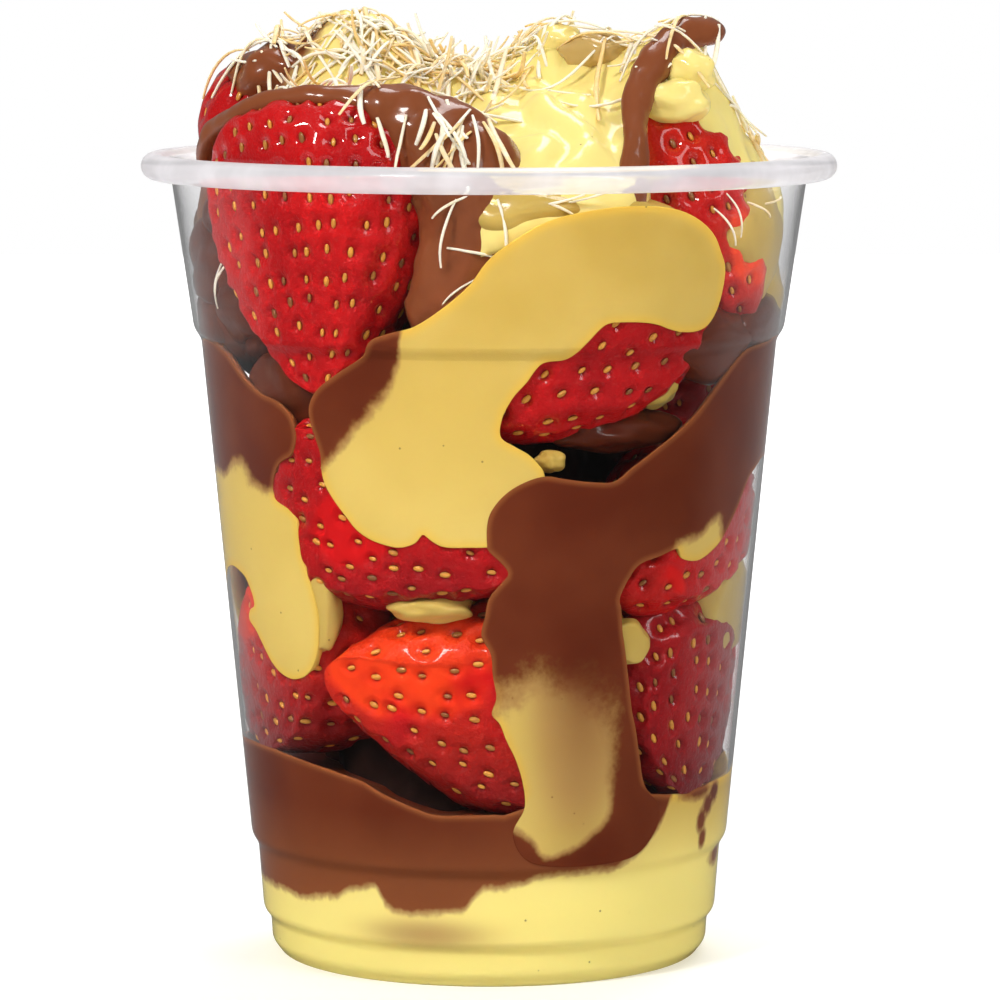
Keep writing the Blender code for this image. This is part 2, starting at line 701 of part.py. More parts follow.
def main():
    for each in list(bpy.data.objects):
        bpy.data.objects.remove(each)
    clear = material("clear_plastic", (0.92, 0.93, 0.94), 0.08, 0.3)
    red = material("strawberry", (0.62, 0.012, 0.010), 0.3)
    brown = material("chocolate", (0.17, 0.05, 0.02), 0.35)
    yellow = material("pistachio_cream", (0.75, 0.56, 0.15), 0.35)

    make_cup(clear)

    smears = {
        "chocolate_smear_right": (RIGHT_SMEAR, brown),
        "chocolate_lobe_front": (FRONT_LOBE, brown),
        "chocolate_smear_left": (LEFT_SMEAR, brown),
        "chocolate_smear_rear": (REAR_SMEAR, brown),
        "cream_smear_front": (FRONT_SMEAR, yellow),
        "cream_smear_left": (LEFT_CREAM, yellow),
        "cream_smear_rear": (REAR_CREAM, yellow),
    }
    made = {}
    cutters = {}
    for i, (name, (outline, finish)) in enumerate(smears.items()):
        made[name] = smear(name, outline, finish)
        room = GAP + 0.1 + 0.03 * i  # each a little deeper, so that no two faces coincide
        cutters[name] = as_cutter(smear(name + "_tool", outline, finish, room))
    for cream in ("cream_smear_front", "cream_smear_left", "cream_smear_rear"):
        cut_by(made[cream], [cutters[n] for n in smears if n.startswith("chocolate")])
    front_space, *others = cutters.values()
    for each in others:
        combine(front_space, each, "UNION", whole=False)

    berries = {}
    hollows = {}
    specs = {**FRONT_BERRIES, **REAR_BERRIES}
    for name, spec in specs.items():
        fineness = FRONT_BERRY if name in FRONT_BERRIES else REAR_BERRY
        berries[name] = berry(name, spec, red, fineness)
        cut_by(berries[name], [front_space, *hollows.values()])
        simplify(berries[name], 0.4, 3.0)
        hollows[name] = as_cutter(berry(name + "_hollow", spec, red, *HOLLOW))

    drape = sweep("chocolate_drape", DRAPE_PATH, brown)
    strap = sweep("chocolate_strap", STRAP_PATH, brown)
    over = [drape, strap]
    over_tools = [
        as_cutter(sweep("drape_tool", DRAPE_PATH, brown, OVER_GAP)),
        as_cutter(sweep("strap_tool", STRAP_PATH, brown, OVER_GAP)),
    ]
    for piece in over:
        cut_by(piece, [front_space, *hollows.values()])
        simplify(piece, 0.4, 3.0)

    core_hollows = [
        as_cutter(berry(name + "_core_hollow", spec, red, *CORE_HOLLOW)) for name, spec in specs.items()
    ]
    heap = make_heap(yellow)
    cut_by(heap, over_tools, ("MANIFOLD",))  # the exact solver leaves these two uncut
    cut_by(heap, [*core_hollows, front_space])
    simplify(heap, 0.6, 3.0)
    scatter_strands(heap, [*berries.values(), *over], yellow)

    make_base(yellow)
    filling = make_filling(brown)
    cut_by(filling, over_tools, ("MANIFOLD",))
    cut_by(filling, core_hollows)
    simplify(filling, 0.6, 3.0)
    combine(filling, made["chocolate_smear_right"], "UNION")
    discard(made.pop("chocolate_smear_right"))

    discard(*cutters.values(), *hollows.values(), *core_hollows, *over_tools)
    for each in bpy.data.objects:
        each.data.shade_smooth()
        each.data.set_sharp_from_angle(angle=SHARP_ANGLE)


if __name__ == "__main__":
    main()
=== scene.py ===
"""Looks of a clear cup of strawberries in chocolate and pistachio sauce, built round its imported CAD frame.

Sizes in the tables below are millimetres, and an angle round the cup is degrees from the front (-Y), growing
towards the right (+X). Meshes are made in metres, in the frame's own axes.
"""

import math
import random

import bmesh
import bpy
import numpy as np
from bpy.props import FloatProperty, FloatVectorProperty, IntProperty, PointerProperty
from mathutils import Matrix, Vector, noise
from mathutils.bvhtree import BVHTree
from mathutils.geometry import delaunay_2d_cdt
from mathutils.kdtree import KDTree


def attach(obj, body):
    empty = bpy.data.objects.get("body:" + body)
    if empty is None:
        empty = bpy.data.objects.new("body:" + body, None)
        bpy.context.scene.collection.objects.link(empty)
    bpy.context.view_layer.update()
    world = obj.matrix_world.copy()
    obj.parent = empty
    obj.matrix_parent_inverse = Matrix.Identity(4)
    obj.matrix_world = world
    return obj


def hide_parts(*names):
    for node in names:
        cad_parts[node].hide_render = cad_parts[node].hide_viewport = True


bl_info = {
    "name": "Strawberry Dessert Cup",
    "version": (1, 0, 0),
    "blender": (4, 5, 0),
    "location": "3D View > Sidebar > Dessert Cup",
    "description": "Builds the looks of a clear cup of strawberries, sauces, cream and pastry shreds",
    "category": "Add Mesh",
}

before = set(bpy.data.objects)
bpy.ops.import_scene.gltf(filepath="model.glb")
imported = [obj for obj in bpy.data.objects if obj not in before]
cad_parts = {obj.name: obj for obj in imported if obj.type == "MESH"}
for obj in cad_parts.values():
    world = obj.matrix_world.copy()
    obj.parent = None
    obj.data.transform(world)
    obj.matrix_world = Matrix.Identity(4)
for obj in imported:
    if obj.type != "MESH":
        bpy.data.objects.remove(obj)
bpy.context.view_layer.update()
MM = 0.001
BODY = "root"
TINY = 1e-12  # in place of 0 as a divisor
CHOCOLATE = -4.0  # how far from the border with cream plain chocolate lies, in millimetres
CREAM = 4.0
INLAND = 9.0  # distance from the edge of a piece of sauce that shows no edge

# The cup, as in the frame: height and outer radius of each corner of the wall
WALL = 0.55
FOOT_RADIUS = 28.6
FOOT_WIDTH = 1.4
FLOOR_HEIGHT = 2.1
WALL_CORNERS = (
    (1.8, 30.0), (5.0, 30.2), (6.2, 31.2), (15.2, 31.9), (16.6, 32.8), (84.9, 39.4), (86.4, 40.4),
    (107.0, 43.4),
)
CUP_FILLET = 0.7
RIM_BEAD = 1.75  # radius of the rolled rim, which turns from one angle to the other round its centre
RIM_CENTRE = 45.75, 108.45
RIM_TURN = -125, 150
RIM_LOW = 107  # height at which the wall ends and the rim begins
MIDDLE_RADIUS = 38.0  # of the wall, for measuring along it

# Strawberries, as in the frame: tip, crown, width and how pointed; then the share of orange and of dark red,
# the place pressed on the wall (angle, height and half sizes), and the heights between which painted shade
# darkens its lower part
BERRIES = {
    "berry_top_left": ((-21.3, -29.5, 79.5), (-21, -19, 119.5), 31.6, 0.37, 0.0, 0.0, None, None),
    "berry_top_right": ((33.5, -16.5, 87.5), (19, -12, 121.5), 18.4, 0.14, 1.0, 0.0,
        (62, 99.5, 7, 6), (86, 93)),
    "berry_centre_right": ((0, -33.5, 75), (25, -19, 96), 25.0, 0.38, 0.0, 0.1, (6, 76, 9, 4), (62, 76)),
    "berry_middle_left": ((4, -34.5, 56.5), (-30, -17, 68.5), 26.0, 0.36, 0.0, 0.1,
        (-30, 62, 10, 5), (49, 60)),
    "berry_lower_centre": ((-21.5, -28, 42), (16, -20, 36), 30.0, 0.50, 1.0, 0.1,
        (-18, 45, 21, 8.5), (24, 40)),
    "berry_upper_right": ((17, -27.5, 52.5), (31, -4, 67), 21.0, 0.28, 0.1, 0.0, (38, 53.5, 8, 4.0), None),
    "berry_lower_right": ((28, -20, 25), (15.5, -8, 53), 25.5, 0.16, 0.0, 0.5, None, (26, 46)),
    "berry_lower_left": ((-8, -16, 38), (-35, -11, 46.5), 27.0, 0.30, 0.9, 0.25,
        (-70, 52, 13, 7), (31, 47)),
    "berry_rear_top_left": ((-27, 4, 88), (-27.5, 0, 124.5), 24.0, 0.38, 0.0, 0.0, None, None),
    "berry_rear_upper_left": ((-12, 20, 62), (-26, 22, 94), 27.0, 0.36, 0.2, 0.0, (-130, 80, 12, 7), None),
    "berry_rear_upper_right": ((16, 12, 100), (24, 22, 68), 28.0, 0.40, 0.0, 0.1, (132, 82, 10, 7), None),
    "berry_rear_top": ((2, 22, 80), (-2, 26, 112), 27.0, 0.36, 0.0, 0.0, None, None),
    "berry_rear_middle": ((-6, 33, 62), (16, 22, 46), 26.0, 0.34, 0.3, 0.0, (172, 58, 12, 6), None),
    "berry_rear_left": ((-33, 6, 70), (-20, 14, 46), 24.0, 0.34, 0.0, 0.2, (-100, 66, 8, 5), None),
    "berry_rear_right": ((34, 4, 46), (22, 18, 26), 23.0, 0.34, 0.0, 0.1, None, (24, 40)),
    "berry_rear_low": ((-26, 20, 32), (4, 20, 30), 24.0, 0.40, 0.3, 0.1, (-146, 33, 14, 5), (18, 28)),
}
BERRY_ROOM = 0.12  # between a berry's even skin and the wall
FRONT_BERRY_COUNT = 8  # these come first in the table
FINE_BERRY = 200, 130  # sides and rings of a berry that faces the front
PLAIN_BERRY = 120, 84  # and of one at the back

# Outlines of the sauce on the wall: angle and height of the points that a smooth closed curve runs through
FRONT_SMEAR = (
    (-38.1, 77.8), (-37.0, 79.4), (-34.8, 80.9), (-30.2, 82.9), (-24.8, 85.2), (-22.6, 87.3), (-19, 88.3),
    (-13.9, 89.3), (-8.8, 91.6), (-3.7, 94.7), (0, 98.2), (5, 101), (10.2, 103.1), (16.8, 104.3),
    (24.5, 104.9), (32.7, 104.6), (38.8, 103.3), (43.9, 101), (46.9, 98.2), (48.6, 95.7), (48, 91.6),
    (45.9, 89), (42.9, 88), (38.8, 88), (35.7, 88.5), (32.7, 89.2), (28.6, 89.6), (23, 89.6),
    (20.9, 88.8), (18.4, 87), (15, 85), (10.2, 84.4), (7.2, 81.9), (4.6, 79.9), (2.6, 77.3), (2.3, 74.8),
    (5.1, 73.5), (7.7, 72.5), (9.7, 71.2), (11.2, 69.4), (11, 65), (6, 61), (0, 60.2), (-3.7, 60.1),
    (-8.8, 60.1), (-11.3, 60.7), (-13.1, 61.6), (-13.5, 61.8), (-13.9, 61.6), (-15.4, 60.5),
    (-18.5, 59.9), (-21.5, 60.1), (-25.1, 60.8), (-28.2, 62), (-30.7, 63.8), (-33.3, 65.8),
    (-35.3, 67.9), (-35.9, 69.9), (-35.9, 71.7), (-36.8, 73.7), (-37.9, 75.8),
)
FRONT_LOBE = (  # the part of it that is chocolate
    (-16.7, 91), (-16.7, 87.5), (-17.4, 84.4), (-19.5, 81.4), (-22.5, 78.8), (-25.6, 76.3), (-30.2, 73.7),
    (-32.8, 71.7), (-35.6, 69.9), (-42, 68), (-46, 76), (-42, 86), (-30, 92),
)
RIGHT_SMEAR = (
    (-0.4, 60.5), (-0.4, 63), (0.5, 65), (3.1, 67.1), (6.6, 68.6), (11, 69.5), (15.3, 69.1), (20.4, 68.6),
    (26, 68.5), (30.1, 70.2), (35.7, 72.5), (40.8, 74.5), (45.9, 76.8), (51, 79.9), (56.1, 82.7),
    (60.2, 84.4), (64, 85), (71.4, 85.3), (82, 85.6), (100, 80), (112, 69), (108, 61), (96, 66), (82, 69),
    (71.4, 67.6), (67.9, 66.1), (63.8, 63), (60.2, 60.5), (56.1, 58.4), (50, 56.9), (44.6, 57.4),
    (43, 58.8), (38, 58.0), (33.2, 57.2), (30.6, 55.4), (28.6, 52.8), (29.1, 51.3), (29.7, 48.3),
    (30.6, 45.8), (31.9, 41.7), (33.2, 37.6), (34.7, 34.6), (36.2, 31), (37.5, 27.9), (39.4, 26.0),
    (43, 24), (43, 21), (38, 17.8), (30, 16.8), (16, 16.8), (8.5, 18), (5.5, 21.5), (8.1, 25), (7.6, 28.4),
    (6, 31.5), (4, 34), (2.4, 36.4), (0.6, 37.8), (1.6, 40), (0.8, 43), (0.4, 45.8), (-1.6, 48.3),
    (-0.8, 51), (0, 53.3), (2.6, 55.4), (4, 56.6), (2.6, 58), (0, 59.6),
)
COLUMN_CREAM = (  # the cream that runs down in it, soft at the top
    (-2, 36), (3, 39.5), (9, 42), (16, 42), (23, 40), (27, 36), (28.6, 31), (29.0, 26), (28.0, 22.8),
    (24.5, 20.8), (20.4, 19.3), (13.3, 18.4), (10.2, 20.3), (6.6, 21.8), (2, 24), (-2, 28),
)
ACCENT_CREAM = ((43, 59.4), (46, 59.8), (50, 60.4), (54, 62.2), (57, 62), (57, 56), (44, 55), (42, 57.5))
LEFT_SMEAR = (
    (-118, 74), (-104, 82), (-88, 84), (-75, 85.4), (-65.9, 84.4), (-62.3, 83.2), (-57.2, 80.9),
    (-52.1, 79.3), (-48.1, 78.6), (-45, 77.6), (-43, 76.3), (-42.2, 74.5), (-42.4, 73), (-43.7, 71.4),
    (-46, 70.6), (-48.1, 69.7), (-49.6, 68.1), (-50.4, 66.3), (-49.6, 65), (-46, 64), (-43.7, 62.5),
    (-43.5, 60), (-43.2, 57.9), (-42, 55.9), (-40.4, 52.9), (-39.4, 49.4), (-40.2, 45.3), (-41.9, 43),
    (-44.5, 41.5), (-48.6, 40.8), (-52.7, 41.3), (-56.2, 42.6), (-59.8, 45), (-62.3, 46.6), (-65.2, 47.8),
    (-64.4, 49.1), (-61.8, 50.1), (-63.4, 52.4), (-66.9, 54), (-75, 54.5), (-84, 52), (-96, 44),
    (-108, 40), (-112, 50), (-106, 60), (-112, 68),
)
LEFT_CHOCOLATE = (
    (-126, 66), (-112, 65), (-96, 66), (-80, 67.4), (-72, 67.0), (-66, 68.8), (-61, 69.3), (-58.3, 67.1),
    (-54, 66.0), (-50, 66.6), (-44, 68), (-38, 74), (-44, 84), (-70, 92), (-100, 90), (-122, 80),
)
REAR_SMEAR = (
    (128, 90), (146, 96), (168, 92), (190, 84), (214, 80), (228, 70), (218, 61), (200, 66), (182, 62),
    (172, 48), (160, 43), (152, 54), (140, 68), (128, 76),
)
REAR_LOBE = (  # the part of it that is cream
    (122, 98), (150, 102), (176, 94), (178, 84), (166, 78), (152, 80), (140, 84), (126, 84),
)
REAR_CREAM = (
    (128, 70), (140, 66), (152, 52), (158, 42), (150, 33), (136, 38), (122, 34), (112, 42), (118, 54),
)
REAR_STREAK = ((106, 44), (118, 46), (132, 50), (146, 44), (160, 38), (150, 28), (120, 28), (104, 36))
DRIPS = (  # chocolate in the cream at the foot: angle and height of the middle, and half sizes
    (57.5, 24.9, 6.0, 1.0), (66.5, 24.2, 2.6, 1.7), (63.4, 22.4, 2.4, 1.6), (60.6, 20.6, 2.2, 1.6),
    (62.0, 17.9, 1.7, 1.5), (77, 14.3, 4.6, 1.3), (108, 23.5, 9.0, 2.2), (-168, 17, 9.0, 1.8),
    (150, 12.5, 6.0, 1.2),
)
POOL_RIM = (  # angle and height of the pool's edge on the wall, all the way round
    (-180, 26.5), (-150, 28.5), (-120, 31.5), (-95, 30), (-70, 30.6), (-59.8, 30.5), (-50.1, 29.9),
    (-39.4, 29), (-30.2, 27.9), (-25.6, 26.5), (-19, 25), (-13.9, 24), (-10.8, 23.8), (1.4, 24),
    (3.5, 23.9), (8.5, 24.9), (20, 25), (32, 26.2), (38.8, 26.4), (40.8, 25.5), (45.9, 25.1),
    (53.6, 24.7), (56.1, 25.1), (66.3, 25.5), (80, 25.6), (105, 27.5), (130, 24.5), (155, 27),
)
BASE_BORDER = (  # angle and height of the border between chocolate and the cream under it
    (-180, 14), (-160, 18.5), (-140, 12), (-115, 14), (-95, 11), (-70, 10.8), (-50, 10.6), (-41.4, 11.1),
    (-36.8, 12.4), (-30.2, 13.1), (-28.4, 13.0), (-26.6, 11.1), (-24.1, 10.3), (-19, 10.2), (-11.3, 10.6),
    (-6.2, 10.9), (-3.7, 12.6), (-1.1, 13.9), (8.0, 14.2), (10.7, 15.3), (16.8, 15.7), (30.6, 15.7),
    (35.7, 17), (40.8, 19), (44.4, 21.2), (46.4, 23.6), (48.2, 27), (52, 33), (92, 33), (99, 22),
    (112, 13), (135, 10.5), (158, 15),
)
SMUDGE = -16.0, 7.4, 15.0, 1.9  # a faint brown smudge: angle and height of the middle, and half sizes
SMEAR_DEPTH = 1.9
PATCH_ROWS = 0.12, 0.35, 0.7, 1.15  # distances from the edge of a smear at which rows of points follow it
PATCH_MARGIN = 1.6  # and from which an even grid fills it
POOL_SINK = 0.10  # how far the pool reaches into the plastic
POOL_TOP = (  # rows over the pool: distance from the wall, and how far each lies below its edge
    (0.25, -0.12), (0.7, 0.1), (1.4, 0.35), (2.6, 0.55), (5, 0.7), (9, 0.9), (14, 1.2), (19, 1.4),
    (25, 1.5), (29, 1.5),
)
CORE_HEIGHTS = 20, 100

# Sauce over the berries, as in the frame: path points with the half width at each
DRAPE_PATH = (
    (-38.0, -13, 108.5, 1.5), (-37.0, -18, 113.6, 1.6), (-31, -26, 117.4, 1.5), (-23.5, -29.5, 118.9, 1.5),
    (-17, -30.4, 118.6, 2.2), (-11.0, -30.6, 116.6, 4.4), (-6, -32, 112.6, 6.6), (-2.8, -34, 107.6, 7.6),
    (-3.0, -34.6, 101, 6.2), (-5.6, -34, 93.5, 5.6), (-8.6, -32, 88, 5.0),
)
STRAP_PATH = (
    (31.5, -7, 127.2, 2.1), (26, -13, 126.3, 2.3), (21.4, -19, 122.2, 2.2), (19.4, -24.5, 117, 2.0),
    (19, -30, 110, 2.0), (18.7, -33.5, 103, 1.9), (18.5, -34.5, 98.5, 1.6),
)
LUMPS = (  # place, height and spread of the lumps on the heap
    (-15, -7, 10.0, 7.0), (-25, -6, 8.0, 6.0), (-20, -15, 5.5, 5.5), (7, -3, 9.5, 6.5), (16, -9, 7.0, 5.0),
    (26.5, -6.5, 11.0, 5.0), (27, -13, 7.0, 4.5), (23, -19, 8.0, 4.0), (-4, -15, 4.0, 5.0),
    (9, -22, 5.0, 6.0), (35, 5, 1.5, 5.0), (-8, 14, 3.5, 7.0), (18, 14, 3.0, 6.5),
)
HEAP_BOTTOM = 97.6
HEAP_EDGE = 38.5  # its radius
HEAP_DENTS = (-16, 11.0, 9.0), (47, 9.0, 11.0), (82, -2.4, 24.0)  # angle, depth and spread

# Blobs of sauce seen between the berries: angle, height and radius of the middle, and half sizes along the
# wall, up and inwards
CREAM_BLOBS = (
    (-13.5, 51.4, 31.5, 5.5, 2.0, 4), (-40.5, 51, 33.8, 2.6, 6.5, 2.5), (32, 46.5, 33.0, 4, 3.2, 3),
    (70, 50, 32.5, 8, 8, 4), (40, 80.5, 32.5, 4.0, 3.2, 4), (13.5, 71.2, 34.5, 2.0, 1.5, 2),
    (72, 100, 36.5, 10, 10, 4), (88, 92, 35, 10, 8, 5), (160, 102, 35, 12, 6, 5), (-150, 56, 31, 9, 7, 5),
    (104, 37, 29.5, 5, 5, 3.5), (176, 100, 37.0, 7, 4, 3), (8, 104, 36.5, 8, 4, 4),
    (28, 101, 36.5, 9, 5, 4),
)
CHOCOLATE_BLOBS = (
    (-48, 80.5, 33.5, 7, 6, 5), (-62, 91, 34.5, 8, 6, 5), (-78, 96, 36.0, 8, 7, 5),
    (-68, 103, 35.5, 7, 5, 5), (-94, 99, 35.5, 8, 8, 5), (-84, 88, 36, 9, 5, 4), (54, 86, 35, 10, 5.5, 5),
    (33, 74.5, 31, 10, 2.6, 4), (74, 88, 36.5, 9, 4, 4), (-112, 92, 34, 9, 9, 6), (168, 74, 33, 9, 8, 5),
    (120, 85, 36.6, 9, 7, 4),
)
TOP_LUMPS = (  # cream on the berry at the right: middle, half sizes, and how much it leans to chocolate
    ((26.6, -17.0, 121.4), (3.7, 3.2, 3.0), 0.0), ((24.8, -20.2, 117.7), (4.5, 3.2, 3.0), 0.0),
    ((14.5, -10.0, 123.8), (4.6, 3.6, 2.9), 0.42), ((9.5, -6.0, 125.2), (3.2, 3.4, 2.6), 0.05),
)
REAR_LUMP = (((-28.0, -4.0, 121.0), (7.0, 7.0, 4.2), 0.0),)  # chocolate on the berry behind the left one

SHRED_ZONES = (  # share, place and spread (from above, or from the front), shortest, longest, from the front
    (0.46, -17, -9, 8.5, 7.0, 3.5, 11, False), (0.10, -5, -14, 4.5, 5.0, 4, 11, False),
    (0.07, 10, -5, 7.0, 6.0, 4, 10, False), (0.05, 24, -11, 6.0, 6.0, 7, 17, False),
    (0.06, 36, 4, 4.0, 8.0, 3, 8, False), (0.20, 0, 14, 20.0, 11.0, 4, 13, False),
    (0.050, -1.5, 114, 4.5, 3.5, 4, 10, True), (0.006, -20, 118, 8.0, 1.5, 3, 6, True),
    (0.01, 14, 115, 4.0, 5.0, 8, 16, True), (0.02, -6, 112, 4.0, 3.5, 6, 13, True),
)
HANGING = (  # shreds inside the cup: angle, height, radius, run to the right and upwards, tint
    (-64, 97.5, 39.0, -1.0, -7.5, 0.2), (-60, 98.0, 38.6, -3.0, -6.0, 0.4),
    (-55, 101.5, 38.5, 2.0, -11.0, 0.3), (-57, 104, 38.6, 1.0, -9.0, 0.5), (-70, 104, 38.8, 3.0, -7.0, 0.6),
    (-6, 106, 39.8, -2.0, -9.0, 0.2), (-3.5, 106.5, 39.6, -5.0, -3.0, 0.5),
    (1.5, 106, 39.9, 0.7, -10.0, 0.3), (-8, 99.5, 38.8, 7.0, -1.5, 0.1), (3, 100, 38.6, -2.2, -7.0, 0.1),
    (-1, 96, 38.2, -5.5, -4.0, 0.1), (5, 104.5, 39.2, 9.0, 2.0, 0.3), (8, 106, 39.4, 6.0, -2.5, 0.6),
    (12, 105, 39.0, 9.0, 2.4, 0.2), (48, 104, 39.6, 3.0, -5.0, 0.3), (52, 106, 39.6, 2.0, -6.0, 0.5),
    (60, 104.5, 39.5, 3.0, -2.0, 0.7), (66, 104, 39.5, 2.5, 1.0, 0.7),
)
SHRED_TOP = 129.5  # no shred lies higher

# The camera of the photo: place, pitch below level, lens and shift on a 36 mm sensor
CAMERA_PLACE = 0.0, -0.725, 0.1425
CAMERA_PITCH = 6.31
CAMERA_LENS = 190.8
CAMERA_SHIFT = 0.011
CAMERA_CLIP = 0.05, 10
LIGHT_TARGET = 0, 0, 0.065


# Node trees


def add_node(tree, kind, settings=None, inputs=None):
    """A node with its settings made first, then its sockets. A socket takes a value, a signal, another
    socket or a node, whose first output it then is."""
    made = tree.nodes.new(kind)
    for name, value in (settings or {}).items():
        setattr(made, name, value)
    for key, value in (inputs or {}).items():
        if isinstance(value, Signal):
            value = value.socket
        elif isinstance(value, bpy.types.Node):
            value = value.outputs[0]
        if isinstance(value, bpy.types.NodeSocket):
            tree.links.new(value, made.inputs[key])
        else:
            made.inputs[key].default_value = value
    return made


def add_signal(tree, kind, settings=None, inputs=None, output=0):
    """One output of a new node, as a signal."""
    return Signal(tree, add_node(tree, kind, settings, inputs).outputs[output])


class Signal:
    """A number or colour that runs through a node tree, worked with in Python's own arithmetic."""

    def __init__(self, tree, socket):
        self.tree = tree
        self.socket = socket

    def maths(self, operation, *values):
        return add_signal(self.tree, "ShaderNodeMath", {"operation": operation}, dict(enumerate(values)))

    def __add__(self, other):
        return self.maths("ADD", self, other)

    __radd__ = __add__

    def __sub__(self, other):
        return self.maths("SUBTRACT", self, other)

    def __rsub__(self, other):
        return self.maths("SUBTRACT", other, self)

    def __mul__(self, other):
        return self.maths("MULTIPLY", self, other)

    __rmul__ = __mul__

    def __truediv__(self, other):
        return self.maths("DIVIDE", self, other)

    def __rtruediv__(self, other):
        return self.maths("DIVIDE", other, self)

    def __abs__(self):
        return self.maths("ABSOLUTE", self)

    def at_least(self, other):
        return self.maths("MAXIMUM", self, other)

    def rise(self, low, high):
        """0 below low, 1 above high and smooth between; with high under low it falls."""
        settings = {"interpolation_type": "SMOOTHSTEP", "clamp": True}
        values = {"Value": self, "From Min": low, "From Max": high, "To Min": 0.0, "To Max": 1.0}
        return add_signal(self.tree, "ShaderNodeMapRange", settings, values)

    def mix(self, first, second):
        """The first colour turning into the second; each is a signal or three numbers."""
        first, second = (each if isinstance(each, Signal) else (*each, 1.0) for each in (first, second))
        values = {0: self, 6: first, 7: second}
        return add_signal(self.tree, "ShaderNodeMix", {"data_type": "RGBA"}, values, 2)


def layered(colour, layers):
    """A colour under layers of others, each with the share that it covers."""
    for share, above in layers:
        colour = share.mix(colour, above)
    return colour


def grey(value):
    return value, value, value


def new_material(name):
    """An empty material, its tree and the object's own coordinates."""
    made = bpy.data.materials.new(name)
    made.use_nodes = True
    tree = made.node_tree
    tree.nodes.clear()
    return made, tree, add_signal(tree, "ShaderNodeTexCoord", output="Object")


def finished(material, shader):
    """The material with its shader led to the output; a table of inputs stands for a principled shader."""
    tree = material.node_tree
    if isinstance(shader, dict):
        shader = add_node(tree, "ShaderNodeBsdfPrincipled", None, shader)
    add_node(tree, "ShaderNodeOutputMaterial", None, {"Surface": shader})
    return material


def get_material(name, build, *values):
    """The material of that name, built the first time it is asked for."""
    return bpy.data.materials.get(name) or build(*values)


def attributes(tree, *names):
    """Numbers stored on the mesh."""
    settings = ({"attribute_name": name} for name in names)
    return [add_signal(tree, "ShaderNodeAttribute", each, output="Fac") for each in settings]


def cloudy(tree, place, size, detail=2.0, roughness=0.5):
    """Soft noise, 0 to 1, with features of a size in millimetres."""
    values = {"Vector": place, "Scale": 1 / (size * MM), "Detail": detail, "Roughness": roughness}
    return add_signal(tree, "ShaderNodeTexNoise", None, values, "Fac")


def bumped(tree, height, distance, strength):
    """A normal from a height; the distance is in millimetres."""
    values = {"Height": height, "Distance": distance * MM, "Strength": strength}
    return add_node(tree, "ShaderNodeBump", None, values)


def light_path(tree):
    """The light path's outputs, and whether a ray comes from a matt surface and whether from a mirror."""
    path = {socket.name: Signal(tree, socket) for socket in add_node(tree, "ShaderNodeLightPath").outputs}
    diffuse = path["Diffuse Depth"].rise(0.0, 1.0)
    return path, diffuse, path["Glossy Depth"].rise(0.0, 1.0) * (1 - diffuse)


def sauce_material(settings):
    """Milk chocolate where the mesh's line is below 0 and pistachio cream above, soft where blur is wide; the
    mesh's shade paints shade over them and its light paints light on them.
    """
    made, tree, place = new_material("two_sauces")
    line, blur, veil, edge, contact, shade, light = attributes(
        tree, "line", "blur", "veil", "edge", "contact", "shade", "light")
    wobble = cloudy(tree, place, 5.0, 3.0) - 0.5
    grain = cloudy(tree, place, 1.1, 4.0, 0.65) - 0.5
    share = ((line + wobble * blur * 1.5 + grain * blur * 1.2 + wobble * 0.6) / blur).rise(-1.0, 1.0)
    share = share * (1 - veil)

    tone = cloudy(tree, place, 14.0)
    spots = add_node(tree, "ShaderNodeTexVoronoi", None, {"Vector": place, "Scale": 1 / (3.4 * MM)})
    distance, cell = (Signal(tree, spots.outputs[key]) for key in ("Distance", "Color"))
    chocolate = layered(settings.chocolate, (
        (tone.rise(0.3, 0.7), settings.chocolate_light),
        (edge.rise(1.0, 0.0) * 0.55, settings.chocolate_edge),
        # Painted light: paler chocolate where the mesh's light is high
        (light, settings.chocolate_pale),
    ))
    cream = layered(settings.cream, (
        (tone.rise(0.35, 0.7), settings.cream_light),
        # Painted light: paler cream where the mesh's light is high
        (light, settings.cream_pale),
        (edge.rise(1.6, 0.0) * 0.6, settings.cream_edge),
        (distance.rise(0.055, 0.03) * cell.rise(0.35, 0.4) * 0.75, settings.speck),
    ))
    colour = layered(chocolate, (
        (share, cream),
        ((0.5 - abs(share - 0.5)).rise(0.0, 0.5) * 0.35, settings.blend),
        # Painted shade: the sauce darkens to the deep colour where the mesh's shade is high
        (shade, settings.deep),
    ))
    relief = cloudy(tree, place, 6.0, 3.0) * (1 - contact)
    return finished(made, {
        "Base Color": colour,
        "Roughness": contact * 0.5 + 0.35,
        "Specular IOR Level": 0.1,
        "Coat Weight": (1 - contact) * 0.6,
        "Coat Roughness": 0.1,
        "Subsurface Weight": 0.12,
        "Subsurface Radius": (1.0, 0.45, 0.15),
        "Subsurface Scale": 0.0015,
        "Normal": bumped(tree, relief, 0.5, 0.5),
    })


